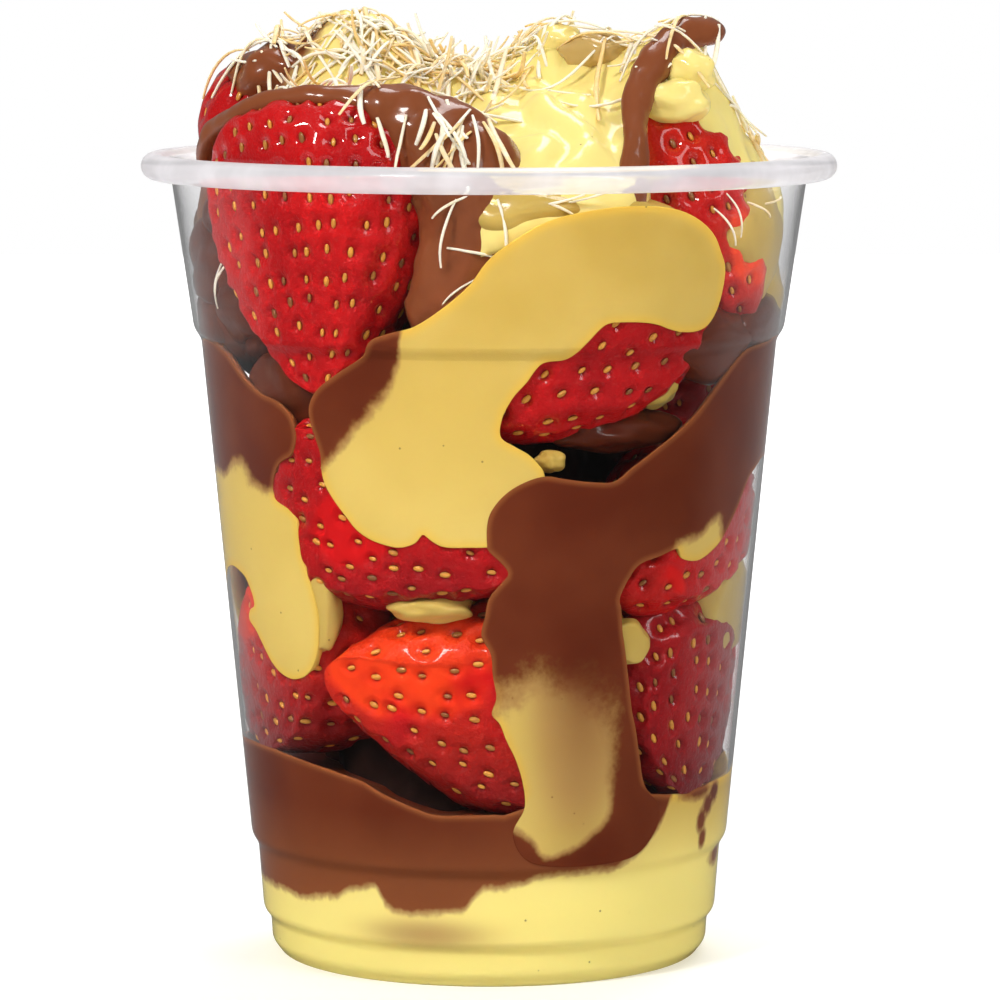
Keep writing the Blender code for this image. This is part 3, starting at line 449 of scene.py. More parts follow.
def berry_material(settings):
    """Wet red flesh with painted shade in the dimples, darker between them too, and painted shade on the
    lower parts of some berries; flat and bright where the wall presses it.
    """
    made, tree, place = new_material("berry_flesh")
    dimple, contact, orange, dark, pale = attributes(tree, "dimple", "contact", "orange", "dark", "pale")
    tone = cloudy(tree, place, 9.0, 3.0)
    fibre = cloudy(tree, place, 0.7, 3.0, 0.7)
    flesh = layered(settings.flesh, (
        (tone.rise(0.3, 0.75), settings.flesh_deep),
        (contact * 0.8, settings.flesh_pressed),
        (orange * tone.rise(0.25, 0.6), settings.flesh_orange),
        # Darker red over some whole berries, and painted shade on their lower parts
        (dark * 0.85, settings.flesh_dark),
        (fibre.rise(0.55, 0.8) * 0.06 * (1 - contact), settings.flesh_pale),
        (pale * (0.35 + fibre * 0.5), settings.flesh_pale),
        # Painted shade in the dimples round the seeds
        (dimple.rise(0.35, 0.9) * 0.7, settings.flesh_dark),
    ))
    grain = cloudy(tree, place, 1.1, 3.0, 0.65) * (1 - contact)
    swell = cloudy(tree, place, 3.0)
    return finished(made, {
        "Base Color": flesh,
        "Roughness": contact * 0.4 + 0.35,
        "Specular IOR Level": 0.1,
        "Coat Weight": (1 - contact * 0.85) * 0.9,
        "Coat Roughness": 0.06,
        "Subsurface Weight": 0.15,
        "Subsurface Radius": (1.0, 0.12, 0.08),
        "Subsurface Scale": 0.0025,
        "Normal": bumped(tree, grain * 0.8 + swell * 0.4, 0.6, 0.85),
    })


def seed_material(settings):
    """Glossy golden seeds, some of them brown."""
    made, tree, place = new_material("golden_seed")
    (tint,) = attributes(tree, "tint")
    grain = cloudy(tree, place, 0.35)
    layers = (tint.rise(0.45, 1.0), settings.seed_dark), (grain.rise(0.45, 0.8) * 0.3, settings.seed_dark)
    return finished(made, {
        "Base Color": layered(settings.seed, layers),
        "Roughness": grain * 0.2 + 0.3,
        "Coat Weight": 0.4,
        "Coat Roughness": 0.1,
    })


def pastry_material(settings):
    """Dry shreds from cream white to golden."""
    made, tree, place = new_material("golden_pastry")
    (tint,) = attributes(tree, "tint")
    grain = cloudy(tree, place, 1.2, 3.0, 0.6)
    return finished(made, {
        "Base Color": (tint + (grain - 0.5) * 0.6).rise(0.4, 1.0).mix(settings.shred, settings.shred_gold),
        "Roughness": grain * 0.2 + 0.5,
        "Subsurface Weight": 0.2,
        "Subsurface Radius": (1.0, 0.7, 0.4),
        "Subsurface Scale": 0.001,
        "Normal": bumped(tree, grain, 0.25, 0.6),
    })


def plastic_material(name, tint, roughness, milk):
    """Clear plastic that light passes through; milk is its share of white haze."""
    made, tree, place = new_material(name)
    glass = add_node(tree, "ShaderNodeBsdfPrincipled", None, {
        "Base Color": (*tint, 1.0),
        "Roughness": roughness,
        "IOR": 1.35,
        "Specular IOR Level": 0.5,
        "Transmission Weight": 1.0,
    })
    cloud = add_node(tree, "ShaderNodeBsdfPrincipled", None, {
        "Base Color": (0.86, 0.84, 0.87, 1.0), "Roughness": 0.45})
    share = (cloudy(tree, place, 9.0, 3.0).rise(0.3, 0.8) * 0.3 + 0.85) * milk
    body = add_node(tree, "ShaderNodeMixShader", None, {0: share, 1: glass, 2: cloud})
    clear = add_node(tree, "ShaderNodeBsdfTransparent", None, {"Color": (0.98, 0.98, 0.98, 1.0)})
    shadow = add_signal(tree, "ShaderNodeLightPath", output="Is Shadow Ray")
    return finished(made, add_node(tree, "ShaderNodeMixShader", None, {0: shadow, 1: body, 2: clear}))


def floor_material():
    """The pale floor: bright in the distance, and dim where gloss mirrors it, most of all at the back."""
    made, tree, place = new_material("pale_floor")
    back = add_signal(tree, "ShaderNodeSeparateXYZ", None, {0: place}, "Y")
    reach = add_signal(tree, "ShaderNodeVectorMath", {"operation": "LENGTH"}, {0: place}, "Value")
    mirrored = light_path(tree)[2] * (back.rise(0.1, -0.05) * 0.2 + 0.8)
    return finished(made, {
        "Base Color": mirrored.mix(cloudy(tree, place, 60.0).mix(grey(0.86), grey(0.88)), grey(0.03)),
        "Roughness": 0.7,
        "Specular IOR Level": 0.2,
        "Emission Color": mirrored.mix(reach.rise(0.15, 0.7).mix(grey(0.25), grey(0.95)), grey(0.0)),
        "Emission Strength": 1.0,
    })


# Meshes


def new_object(name, data):
    """An object in the scene."""
    made = bpy.data.objects.new(name, data)
    bpy.context.scene.collection.objects.link(made)
    return made


def add_object(name, mesh, replaced=()):
    """A finished mesh as a piece of the part."""
    made = new_object(name, mesh)
    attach(made, BODY)
    if replaced:
        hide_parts(*replaced)
    return made


def new_mesh(name, points, faces, values):
    """A mesh from points in millimetres, with numbers or vectors stored on them."""
    mesh = bpy.data.meshes.new(name)
    mesh.from_pydata((np.asarray(points) * MM).tolist(), [], faces)
    for key, rows in values.items():
        rows = np.asarray(rows, np.float32)
        kind, field = ("FLOAT_VECTOR", "vector") if rows.ndim == 2 else ("FLOAT", "value")
        if rows.ndim == 0:
            rows = np.full(len(points), rows)
        mesh.attributes.new(key, kind, "POINT").data.foreach_set(field, rows.ravel())
    return mesh


def add_piece(name, points, faces, material, replaced, values):
    """A closed piece from points in millimetres, smooth and with its faces turned outwards."""
    mesh = new_mesh(name, points, faces, values)
    mesh.materials.append(material)
    mesh.shade_smooth()
    shape = bmesh.new()
    shape.from_mesh(mesh)
    bmesh.ops.recalc_face_normals(shape, faces=shape.faces)
    if shape.calc_volume(signed=True) < 0:
        bmesh.ops.reverse_faces(shape, faces=shape.faces)
    shape.to_mesh(mesh)
    shape.free()
    return add_object(name, mesh, replaced)


def add_sauce(name, points, faces, slot, replaced, settings, line, **values):
    """A piece of sauce with its line and other values, even in colour and free of the wall without them."""
    values = {"line": line, "blur": 1.0, "veil": 0.0, "edge": INLAND, "contact": 0.0, **values}
    material = get_material("two_sauces", sauce_material, settings)
    return add_piece(name, points, faces, material, replaced, values)


def capped_faces(rows, columns, first=0):
    """A closed skin over rows of points, which a point for the start and one for the end follow."""
    ring = [(k, (k + 1) % columns) for k in range(columns)]
    last = first + (rows - 1) * columns
    bottom = last + columns
    faces = [(low + a, low + b, low + columns + b, low + columns + a)
             for low in range(first, last, columns) for a, b in ring]
    for a, b in ring:
        faces += [(bottom, first + b, first + a), (bottom + 1, last + a, last + b)]
    return faces


def skinned(rows, start, end):
    """Rows of points with a point added at each end, and the faces of the closed skin over them."""
    return np.concatenate([*rows, [start, end]]), capped_faces(len(rows), len(rows[0]))


def unit(vectors, least=0.0):
    """Vectors made 1 long; least keeps very short ones from being divided by zero."""
    return vectors / (np.linalg.norm(vectors, axis=-1)[..., None] + least)


def wall_inner(height):
    """Inner radius of the wall at each height."""
    heights, radii = zip(*WALL_CORNERS)
    return np.interp(height, [0.0, *heights], [FOOT_RADIUS, *radii]) - WALL


def around(angle, height, radius):
    """Points at angles round the cup."""
    turn = np.radians(angle)
    return np.stack(np.broadcast_arrays(radius * np.sin(turn), -radius * np.cos(turn), height), axis=-1)


def angle_of(points):
    """Angles of points round the cup."""
    return np.degrees(np.arctan2(points[:, 0], -points[:, 1]))


def angle_from(middle, angle):
    """How far angles lie from a middle, at most half a turn either way."""
    return (angle - middle + 180) % 360 - 180


def ring_angles(columns):
    return np.arange(columns) * 360 / columns


def kept_inside(points, room):
    """Points moved in to stay a distance inside the wall, and how far each was past it."""
    reach = np.hypot(points[:, 0], points[:, 1])
    limit = wall_inner(points[:, 2]) - room
    moved = points.copy()
    moved[:, :2] *= np.minimum(1, limit / reach)[:, None]
    return moved, reach - limit


def smooth_loop(points, spacing, closed=True):
    """A Catmull-Rom curve through points, sampled evenly."""
    points = np.asarray(points, float)
    ends = (points[-1:], points[:2]) if closed else (points[:1], points[-1:])
    spread = np.concatenate([ends[0], points, ends[1]])
    steps = np.linspace(0, 1, 12, endpoint=False)[:, None]
    rows = [
        0.5 * (2 * p1 + (p2 - p0) * steps + (2 * p0 - 5 * p1 + 4 * p2 - p3) * steps**2
               + (3 * p1 - p0 - 3 * p2 + p3) * steps**3)
        for p0, p1, p2, p3 in zip(spread, spread[1:], spread[2:], spread[3:])
    ]
    curve = np.concatenate([*rows, rows[0][:1] if closed else points[-1:]])
    lengths = travelled(curve)
    number = max(3, int(lengths[-1] / spacing))
    at = np.linspace(0, lengths[-1], number + (not closed), endpoint=not closed)
    return np.stack([np.interp(at, lengths, column) for column in curve.T], axis=1)


def travelled(line):
    """Length of a line of points up to each of them."""
    return np.concatenate([[0], np.cumsum(np.linalg.norm(np.diff(line, axis=0), axis=1))])


def inside_distance(points, loop):
    """Distance of each point to a closed curve, positive inside."""
    end = np.roll(loop, -1, axis=0)
    along = end - loop
    length = (along**2).sum(axis=1)
    length[length == 0] = TINY
    slope = np.where(along[:, 1] == 0, TINY, along[:, 1])
    result = []
    for at in range(0, len(points), 2000):
        part = points[at:at + 2000, None, :]
        share = np.clip(((part - loop) * along).sum(axis=2) / length, 0, 1)
        nearest = loop + share[:, :, None] * along
        distance = np.sqrt(((part - nearest) ** 2).sum(axis=2)).min(axis=1)
        x, y = part[:, :, 0], part[:, :, 1]
        reach = loop[:, 0] + (y - loop[:, 1]) / slope * along[:, 0]
        crosses = ((loop[:, 1] > y) != (end[:, 1] > y)) & (x < reach)
        result.append(np.where(crosses.sum(axis=1) % 2 == 1, distance, -distance))
    return np.concatenate(result)


def soft_noise(points, size, seed=0.0):
    """Smooth noise at points in millimetres, about -1 to 1."""
    offset = Vector((seed * 17.3, seed * 5.1, seed * 9.7))
    return np.array([noise.noise(Vector(p) / size + offset) for p in points])


# The cup


def filleted(corners, radius, steps=4):
    """A line through corners with each one rounded."""
    corners = [Vector(c) for c in corners]
    line = [corners[0]]
    for before, here, after in zip(corners, corners[1:], corners[2:]):
        back, ahead = before - here, after - here
        reach = min(radius, back.length * 0.45, ahead.length * 0.45)
        a, b = here + back.normalized() * reach, here + ahead.normalized() * reach
        for t in (step / steps for step in range(steps + 1)):
            line.append(a * (1 - t) ** 2 + here * 2 * t * (1 - t) + b * t**2)
    return [tuple(point) for point in (*line, corners[-1])]


def make_cup(settings):
    """The clear wall with its steps, raised floor and rolled rim."""
    sides = settings.cup_sides
    foot_inside = FOOT_RADIUS - FOOT_WIDTH
    floor_under = FLOOR_HEIGHT - WALL
    centre, middle = RIM_CENTRE
    turns = np.radians(np.linspace(*RIM_TURN, 20))
    bead = [(centre + RIM_BEAD * math.cos(a), middle + RIM_BEAD * math.sin(a)) for a in turns]
    outside = [(radius, height) for height, radius in WALL_CORNERS]
    inside = [(radius - WALL, height) for radius, height in reversed(outside)]
    lower = filleted([
        (foot_inside - 1.2, floor_under), (foot_inside - 0.4, 0.4), (foot_inside + 0.2, 0), (FOOT_RADIUS, 0),
        *outside, (43.6, 106.9),
    ], CUP_FILLET)
    upper = filleted([
        (43.7, 109.2), *inside, (FOOT_RADIUS - 0.4, 0.55), (foot_inside + 0.3, 0.55),
        (foot_inside - 0.9, FLOOR_HEIGHT), (foot_inside - 4, FLOOR_HEIGHT),
    ], CUP_FILLET)
    profile = np.array([*lower, *bead, *upper])
    rows = around(ring_angles(sides)[None, :], profile[:, 1:2], profile[:, 0:1])
    points, faces = skinned(rows, (0, 0, floor_under), (0, 0, FLOOR_HEIGHT))
    wall = get_material("cup_plastic", plastic_material, "cup_plastic", settings.plastic, 0.02, 0.0)
    rim = get_material("rim_plastic", plastic_material, "rim_plastic", settings.plastic, 0.12, settings.milk)
    made = add_piece("clear_cup", points, faces, wall, ["cup"], {})
    made.data.materials.append(rim)
    first = len(lower) * sides
    for number in range(first, first + (len(bead) - 1) * sides):
        made.data.polygons[number].material_index = 1


# Sauce on the wall


def on_wall(outline):
    """An outline in millimetres along the wall, and up."""
    return np.asarray(outline, float) * (math.radians(MIDDLE_RADIUS), 1.0)


def patch_points(loop, spacing):
    """Points that fill an outline: rows that follow its edge, then an even grid, with rows on the steps."""
    along = np.roll(loop, -1, axis=0) - np.roll(loop, 1, axis=0)
    normal = unit(np.stack([-along[:, 1], along[:, 0]], axis=1))
    if inside_distance(loop + normal * 0.2, loop).mean() < 0:
        normal = -normal
    extra = []
    for depth in PATCH_ROWS:
        row = loop + normal * depth
        extra.append(row[inside_distance(row, loop) > depth * 0.93])
    low, high = loop.min(axis=0), loop.max(axis=0)
    columns = np.arange(low[0], high[0], spacing)
    levels = [(height, i % 2) for i, height in enumerate(np.arange(low[1], high[1], spacing * 0.87))]
    levels += [(height, 0) for height, _ in WALL_CORNERS if low[1] < height < high[1]]
    grid = np.concatenate([
        np.stack([columns + shift * spacing / 2, np.full(len(columns), height)], axis=1)
        for height, shift in levels
    ])
    extra.append(grid[inside_distance(grid, loop) > PATCH_MARGIN])
    return np.concatenate(extra)


def wall_patch(name, outline, slot, replaced, sink, thickness, tones, settings):
    """Sauce smeared on the wall. Thickness gives its depth in millimetres and tones its colours, at places
    (angle, height); sink is how far it reaches into the plastic."""
    loop = smooth_loop(on_wall(outline), 0.45)
    places = [Vector(p) for p in np.concatenate([loop, patch_points(loop, settings.patch_spacing)])]
    # 1 asks for the triangles inside the outline only
    corners, _, triangles, *_ = delaunay_2d_cdt(places, [], [list(range(len(loop)))], 1, 1e-5)
    flat = np.array([tuple(p) for p in corners])
    distance = np.maximum(inside_distance(flat, loop), 0)
    distance[distance < 0.02] = 0
    angle = np.degrees(flat[:, 0] / MIDDLE_RADIUS)
    height = flat[:, 1]
    depth = thickness(angle, height)
    bulge = depth * np.sqrt(1 - (1 - np.clip(distance / depth, 0, 1)) ** 2)
    outer = wall_inner(height) + sink
    waves = 1 + 0.15 * soft_noise(np.stack([flat[:, 0], height, height * 0], axis=1), 7.0, 1.0)
    number = len(flat)
    rim = distance == 0
    keep = np.concatenate([np.ones(number, bool), ~rim])
    behind = (np.cumsum(keep) - 1)[np.where(rim, 0, number) + np.arange(number)]
    faces = []
    for a, b, c in triangles:
        faces += [(a, b, c), tuple(int(behind[v]) for v in (c, b, a))]
    points = [around(angle, height, radius) for radius in (outer, outer - bulge * waves)]
    points = np.concatenate(points)[keep]
    contact = np.repeat([1.0, 0.0], number)
    rows = np.broadcast_arrays(*tones(angle, height, distance))
    line, blur, veil, edge, contact = (np.resize(row, number * 2)[keep] for row in (*rows, contact))
    # Painted light: the cream grows paler towards the bottom of the wall
    light = np.clip((100 - points[:, 2]) / 130, 0, 0.27) * np.clip(line + 1, 0, 1)
    add_sauce(name, points, faces, slot, replaced, settings,
              line=line, blur=blur, veil=veil, edge=edge, contact=contact, light=light)


def loop_distance(angle, height, outline):
    """Distance inside an outline on the wall, for angles that may be a turn away from it."""
    loop = smooth_loop(on_wall(outline), 0.6)
    middle = np.mean([a for a, _ in outline])
    near = angle_from(middle, angle) + middle
    flat = np.stack([np.radians(near) * MIDDLE_RADIUS, np.broadcast_to(height, near.shape)], axis=-1)
    return inside_distance(flat, loop)


def front_tones(angle, height, distance):
    """Cream with a chocolate lobe on its left."""
    blur = np.interp(height, [70, 80, 86], [0.9, 1.2, 0.35])
    return -loop_distance(angle, height, FRONT_LOBE), blur, 0.0, distance


def right_tones(angle, height, distance):
    """Chocolate with cream running down in it and a small accent of cream."""
    column = loop_distance(angle, height, COLUMN_CREAM)
    accent = loop_distance(angle, height, ACCENT_CREAM)
    levels = [20, 27, 36, 42]
    blur = np.where(accent > column, 0.9, np.interp(height, levels, [0.7, 1.0, 2.6, 4.2]))
    veil = 0.7 * np.exp(-(((angle - 21) / 11) ** 2)) * np.interp(height, levels, [0.3, 0.75, 1.1, 1.3])
    veil = np.where(accent > column, 0.1, np.minimum(veil, 0.85))
    return np.maximum(column, accent), blur, veil, distance + np.maximum(0, 27 - height) * 0.5


def left_tones(angle, height, distance):
    """Chocolate over cream with a cloudy border between them."""
    blur = np.interp(angle, [-70, -60, -50], [0.9, 1.6, 0.7])
    return -loop_distance(angle, height, LEFT_CHOCOLATE), blur, 0.0, distance


def rear_tones(angle, height, distance):
    """Chocolate with a lobe of cream."""
    return loop_distance(angle, height, REAR_LOBE), 0.8, 0.0, distance


def rear_cream_tones(angle, height, distance):
    """Cream with a streak of chocolate."""
    return -loop_distance(angle, height, REAR_STREAK) + 1.0, 1.1, 0.0, distance


def even_depth(angle, height):
    return SMEAR_DEPTH + 0 * angle


def left_depth(angle, height):
    """Thick where the cream hangs down on the left."""
    return SMEAR_DEPTH + 2.9 * np.clip((66 - height) / 8, 0, 1) * np.clip((angle + 64) / 12, 0, 1)


def make_wall_sauce(settings):
    """All smears on the wall, each a little deeper in the plastic than those that it covers."""
    for row in (
        ("smear_left", LEFT_SMEAR, "pistachio_cream", ["chocolate_smear_left", "cream_smear_left"],
         0.14, left_depth, left_tones),
        ("smear_front", FRONT_SMEAR, "pistachio_cream", ["cream_smear_front", "chocolate_lobe_front"],
         0.16, even_depth, front_tones),
        ("smear_right", RIGHT_SMEAR, "chocolate", ["chocolate_filling"], 0.21, even_depth, right_tones),
        ("smear_rear", REAR_SMEAR, "chocolate", ["chocolate_smear_rear"], 0.16, even_depth, rear_tones),
        ("smear_rear_cream", REAR_CREAM, "pistachio_cream", ["cream_smear_rear"],
         0.20, even_depth, rear_cream_tones),
    ):
        wall_patch(*row, settings)


# Sauce at the bottom and between the berries


def around_table(angle, table):
    """Heights from a table of (angle, height) that closes on itself."""
    angles, heights = zip(*table)
    return np.interp(angle, [*angles, angles[0] + 360], [*heights, heights[0]])


def base_line(angle, height):
    """Distance below the border of the cream at the bottom, less the drips of chocolate in it."""
    line = (around_table(angle, BASE_BORDER) - height) * 0.85
    for middle, level, wide, tall in DRIPS:
        drip = np.hypot(angle_from(middle, angle) / wide, (height - level) / tall)
        line = np.minimum(line, (drip - 1) * tall)
    return line


def make_pool(settings):
    """Cream on the floor with chocolate over it, filling the cup to the pool's edge."""
    columns, wall_rows = 300, 58
    angle = -180 + ring_angles(columns)
    top = around_table(angle, POOL_RIM)
    groove = FOOT_RADIUS - FOOT_WIDTH
    under = (12.0, 1.95), (groove - 1.0, 1.95), (groove + 0.4, 0.4), (FOOT_RADIUS - 0.5, 0.4)
    rows = [around(angle, height, radius) for radius, height in under]
    for share in np.linspace(0, 1, wall_rows - len(rows)) ** 0.9:
        height = 0.9 + (top - 0.9) * share
        rows.append(around(angle, height, wall_inner(height) + POOL_SINK))
    for reach, drop in POOL_TOP:
        share = reach / 33
        level = top * (1 - share) + 25.5 * share
        waves = 0.5 * np.sin(np.radians(angle * 3 + reach * 9)) * min(1, reach / 6)
        rows.append(around(angle, level - drop + waves, wall_inner(top) + POOL_SINK - reach))
    points, faces = skinned(rows, (0, 0, 1.95), (0, 0, 24.0))
    count = len(rows)
    height = points[:-2, 2].reshape(count, columns)
    line = base_line(angle, height)
    edge = np.full((count, columns), INLAND)
    edge[wall_rows - 8:wall_rows] = np.abs(top - height[wall_rows - 8:wall_rows])
    for row in range(wall_rows, count):
        fade = min(1.0, (row - wall_rows + 1) / 6)
        line[row] = line[wall_rows - 1] * (1 - fade) - 2.0 * fade
        edge[row] = 0.6 + 0.4 * (row - wall_rows)
    middle, level, wide, tall = SMUDGE
    angles = np.concatenate([np.tile(angle, count), [0, 0]])
    veil = 0.5 * np.exp(-((angles - middle) / wide) ** 2 - ((points[:, 2] - level) / tall) ** 2)
    add_sauce("sauce_pool", points, faces, "chocolate", ["cream_base", "chocolate_filling"], settings,
              line=np.concatenate([line.ravel(), [3.0, -3.0]]), blur=0.7, veil=veil,
              edge=np.concatenate([edge.ravel(), [INLAND, INLAND]]),
              contact=(np.arange(len(points)) < wall_rows * columns) * 1.0,
              # Painted light: paler sauce towards the floor of the cup
              light=np.clip((24 - points[:, 2]) / 10, 0, 1))


def make_core(settings):
    """The lumpy chocolate between the berries, from the pool up to the heap, with painted shade over it that
    is deepest at the front.
    """
    columns, levels = 220, 150
    low, high = CORE_HEIGHTS
    turn = np.radians(ring_angles(columns))
    rows = []
    for height in low + (high - low) * np.linspace(0, 1, levels):
        column = 23 + 3 * np.sin(2 * turn + height / 9) + 2 * np.sin(3 * turn - height / 7)
        column += 14 * math.exp(-((height - 88) / 14) ** 2) * np.maximum(0, np.cos(turn + 1.4)) ** 2
        rows.append(around(ring_angles(columns), height, np.minimum(column, wall_inner(height) - 2.5)))
    points = np.concatenate(rows)
    lumps = soft_noise(points, 8.0, 3.0) * 2.0 + soft_noise(points, 3.2, 4.0) * 0.7
    points[:, :2] *= (1 + lumps / np.hypot(points[:, 0], points[:, 1]))[:, None]
    points, faces = skinned(points.reshape(levels, columns, 3), (0, 0, low), (0, 0, high))
    front = np.clip((np.cos(np.arctan2(points[:, 0], -points[:, 1])) - 0.3) / 0.3, 0, 1)
    # Painted shade: deepest in the gaps at the front, fainter round the back and above 80 mm
    shade = (0.15 + 0.82 * front) * (1 - 0.85 * np.clip((points[:, 2] - 80) / 10, 0, 1))
    add_sauce("sauce_core", points, faces, "chocolate", ["chocolate_filling"], settings,
              line=CHOCOLATE, contact=1.0, shade=shade)


def wall_blob(angle, height, radius, wide, tall, deep):
    """The middle of a blob behind the wall, its three half axes, and how much it leans to chocolate."""
    outward = around(angle, 0.0, 1.0)
    aside = np.array((-outward[1], outward[0], 0))
    return around(angle, height, radius), (aside * wide, outward * deep, np.array((0, 0, tall))), 0.0


def make_blobs(name, blobs, line, shade, slot, replaced, settings, light=0.0):
    """Rounded bits of sauce, as one piece; each blob is its middle, its half axes and its veil. Shade is
    painted shade over them, and light paints light on them.
    """
    columns, rows = 48, 30
    slope = np.repeat(np.pi * np.arange(1, rows) / rows, columns)
    turn = np.tile(2 * np.pi * np.arange(columns) / columns, rows - 1)
    ball = np.stack([np.sin(slope) * np.cos(turn), np.sin(slope) * np.sin(turn), np.cos(slope)], axis=1)
    ball = np.concatenate([ball, [(0, 0, 1), (0, 0, -1)]])
    points, faces, veils = [], [], []
    for number, (centre, axes, veil) in enumerate(blobs):
        swell = 1 + 0.22 * soft_noise(ball * 1.6, 1.0, number + 2.0)
        placed = np.asarray(centre) + (ball * swell[:, None]) @ np.array(axes)
        low = placed[:, 2] < RIM_LOW
        placed[low] = kept_inside(placed[low], 0.15)[0]
        faces += capped_faces(rows - 1, columns, len(points))
        points.extend(placed.tolist())
        veils += [veil] * len(placed)
    add_sauce(name, points, faces, slot, replaced, settings,
              line=line, veil=veils, shade=shade, light=light)


# Strawberries


def berry_surface(spec, slope, turn):
    """Points of a berry's even skin at slopes from the tip (0) to the crown (pi) and turns round its axis."""
    tip, crown = Vector(spec[0]), Vector(spec[1])
    axis = (crown - tip).normalized()
    across = axis.orthogonal().normalized()
    length, other = (crown - tip).length, axis.cross(across)
    width, taper = spec[2], spec[3]
    rule = random.Random(str(spec[:4]))
    phases = [rule.uniform(0, math.tau) for _ in range(3)]
    steps = np.radians(np.arange(90, 130))
    bulge = (np.sin(steps) * (1 - taper * np.cos(steps))).max()
    share = np.sin(slope) * (1 - taper * np.cos(slope)) / bulge
    height = 0.5 - 0.5 * np.cos(slope)
    height = height - 0.035 * np.clip((height - 0.88) / 0.12, 0, 1) ** 2
    uneven = 1 + 0.035 * np.sin(2 * turn + phases[0]) + 0.025 * np.sin(3 * turn + phases[1])
    uneven = uneven + 0.02 * np.sin(turn + 4 * slope + phases[2])
    radius = share * width / 2 * uneven
    centre = np.array(tip) + np.array(axis) * (height * length)[..., None]
    sideways = np.array(across) * (radius * np.cos(turn))[..., None]
    return centre + sideways + np.array(other) * (radius * np.sin(turn))[..., None]


def berry_frame(spec, slope, turn):
    """Points of the even skin with the outward normal and the direction from tip to crown."""
    step = 1e-3
    here = berry_surface(spec, slope, turn)
    along = berry_surface(spec, slope + step, turn) - here
    side = berry_surface(spec, slope, turn + step) - here
    normal = unit(np.cross(side, along), TINY)
    centre = berry_surface(spec, slope, turn + math.pi)
    flip = np.sign((normal * (here - (here + centre) / 2)).sum(axis=-1))
    flip[flip == 0] = 1
    return here, normal * flip[..., None], unit(along, TINY)


def seed_places(spec, settings):
    """Slopes and turns of a berry's seeds, in staggered rows with a little disorder."""
    rule = random.Random(str(spec[:4]) + "seeds")
    slopes = np.linspace(0.05, math.pi - 0.05, 400)
    length = travelled(berry_surface(spec, slopes, np.zeros_like(slopes)))
    spacing = settings.seed_spacing / MM
    rows = int(length[-1] / (spacing * 0.86))
    result = []
    for row in range(1, rows):
        slope = float(np.interp(length[-1] * row / rows, length, slopes))
        opposite = berry_surface(spec, np.array([slope, slope]), np.array([0.0, math.pi]))
        girth = math.pi * float(np.linalg.norm(opposite[0] - opposite[1]))
        count = max(3, round(girth / spacing))
        for k in range(count):
            turn = math.tau * (k + 0.5 * (row % 2) + rule.uniform(-0.27, 0.27)) / count
            result.append((slope + rule.uniform(-0.035, 0.035), turn))
    return np.array(result)


def pressed_share(points, patch):
    """How much of a berry's skin lies flat on the wall, 0 to 1, with a soft edge."""
    if not patch:
        return np.zeros(len(points))
    angle, height, wide, tall = patch
    edge = np.hypot(angle_from(angle, angle_of(points)) / wide, (points[:, 2] - height) / tall)
    return np.clip((1.08 - (edge + 0.12 * soft_noise(points, 4.0, 6.0))) / 0.16, 0, 1)


def make_berry(name, spec, fineness, settings):
    """One strawberry with dimples round its seeds, pressed flat where it meets the wall."""
    orange, dark, patch, painted_shade_heights = spec[4:]
    sides, rings = fineness
    slope = np.repeat(np.linspace(0, math.pi, rings + 1)[1:-1], sides)
    slope = np.concatenate([slope, [1e-3, math.pi - 1e-3]])
    turn = np.concatenate([np.tile(np.arange(sides) * math.tau / sides, rings - 1), [0, 0]])
    points, normal, _ = berry_frame(spec, slope, turn)
    places, facing, along = berry_frame(spec, *seed_places(spec, settings).T)
    tree = KDTree(len(places))
    for i, place in enumerate(places):
        tree.insert(place, i)
    tree.balance()
    nearest = np.array([tree.find(p)[2] for p in points])
    dimple = np.exp(-((nearest / 0.95) ** 2))
    cushion = 1 - np.exp(-((nearest / 1.9) ** 2))
    depth = settings.dimple_depth / MM
    points = points + normal * (soft_noise(points, 7.0, 1.5) * 0.25)[:, None]
    points, over = kept_inside(points, BERRY_ROOM)
    lift = cushion * 0.35 * depth - dimple * depth
    lift[-2:] = 0
    points, _ = kept_inside(points + normal * lift[:, None], 0.03)
    pressed = pressed_share(points, patch)
    height = points[:, 2]
    values = {
        "dimple": dimple,
        "contact": pressed * np.clip(over / 0.3 + 0.4, 0, 1),
        "orange": orange * (0.25 + 0.75 * pressed),
        "dark": dark,
        "pale": np.clip((0.5 - 0.5 * np.cos(slope) - 0.9) / 0.1, 0, 1) * 0.6,
    }
    # Painted shade: the berry darkens towards the bottom, fully below the lower height
    if painted_shade_heights:
        low, high = painted_shade_heights
        values["dark"] = np.maximum(dark, 1 - np.clip((height - low) / (high - low), 0, 1))
        values["pale"] = 0.0
    material = get_material("berry_flesh", berry_material, settings)
    add_piece(name.replace("berry", "strawberry"), points, capped_faces(rings - 1, sides), material,
              [name], values)
    flat, over = kept_inside(places, BERRY_ROOM)
    centres, _ = kept_inside(flat - facing * (depth * 0.6), settings.seed_width * 0.3 / MM)
    facing[over > 0] = unit(flat * (1, 1, 0))[over > 0]
    return centres, facing, along


def vector_maths(tree, operation, first, second):
    """Two vectors, or one and its scale, through a node of vector maths."""
    key = "Scale" if operation == "SCALE" else 1
    return add_node(tree, "ShaderNodeVectorMath", {"operation": operation}, {0: first, key: second})


def named(tree, key, kind="FLOAT_VECTOR"):
    """What the points carry under a name."""
    return add_node(tree, "GeometryNodeInputNamedAttribute", {"data_type": kind}, {"Name": key})


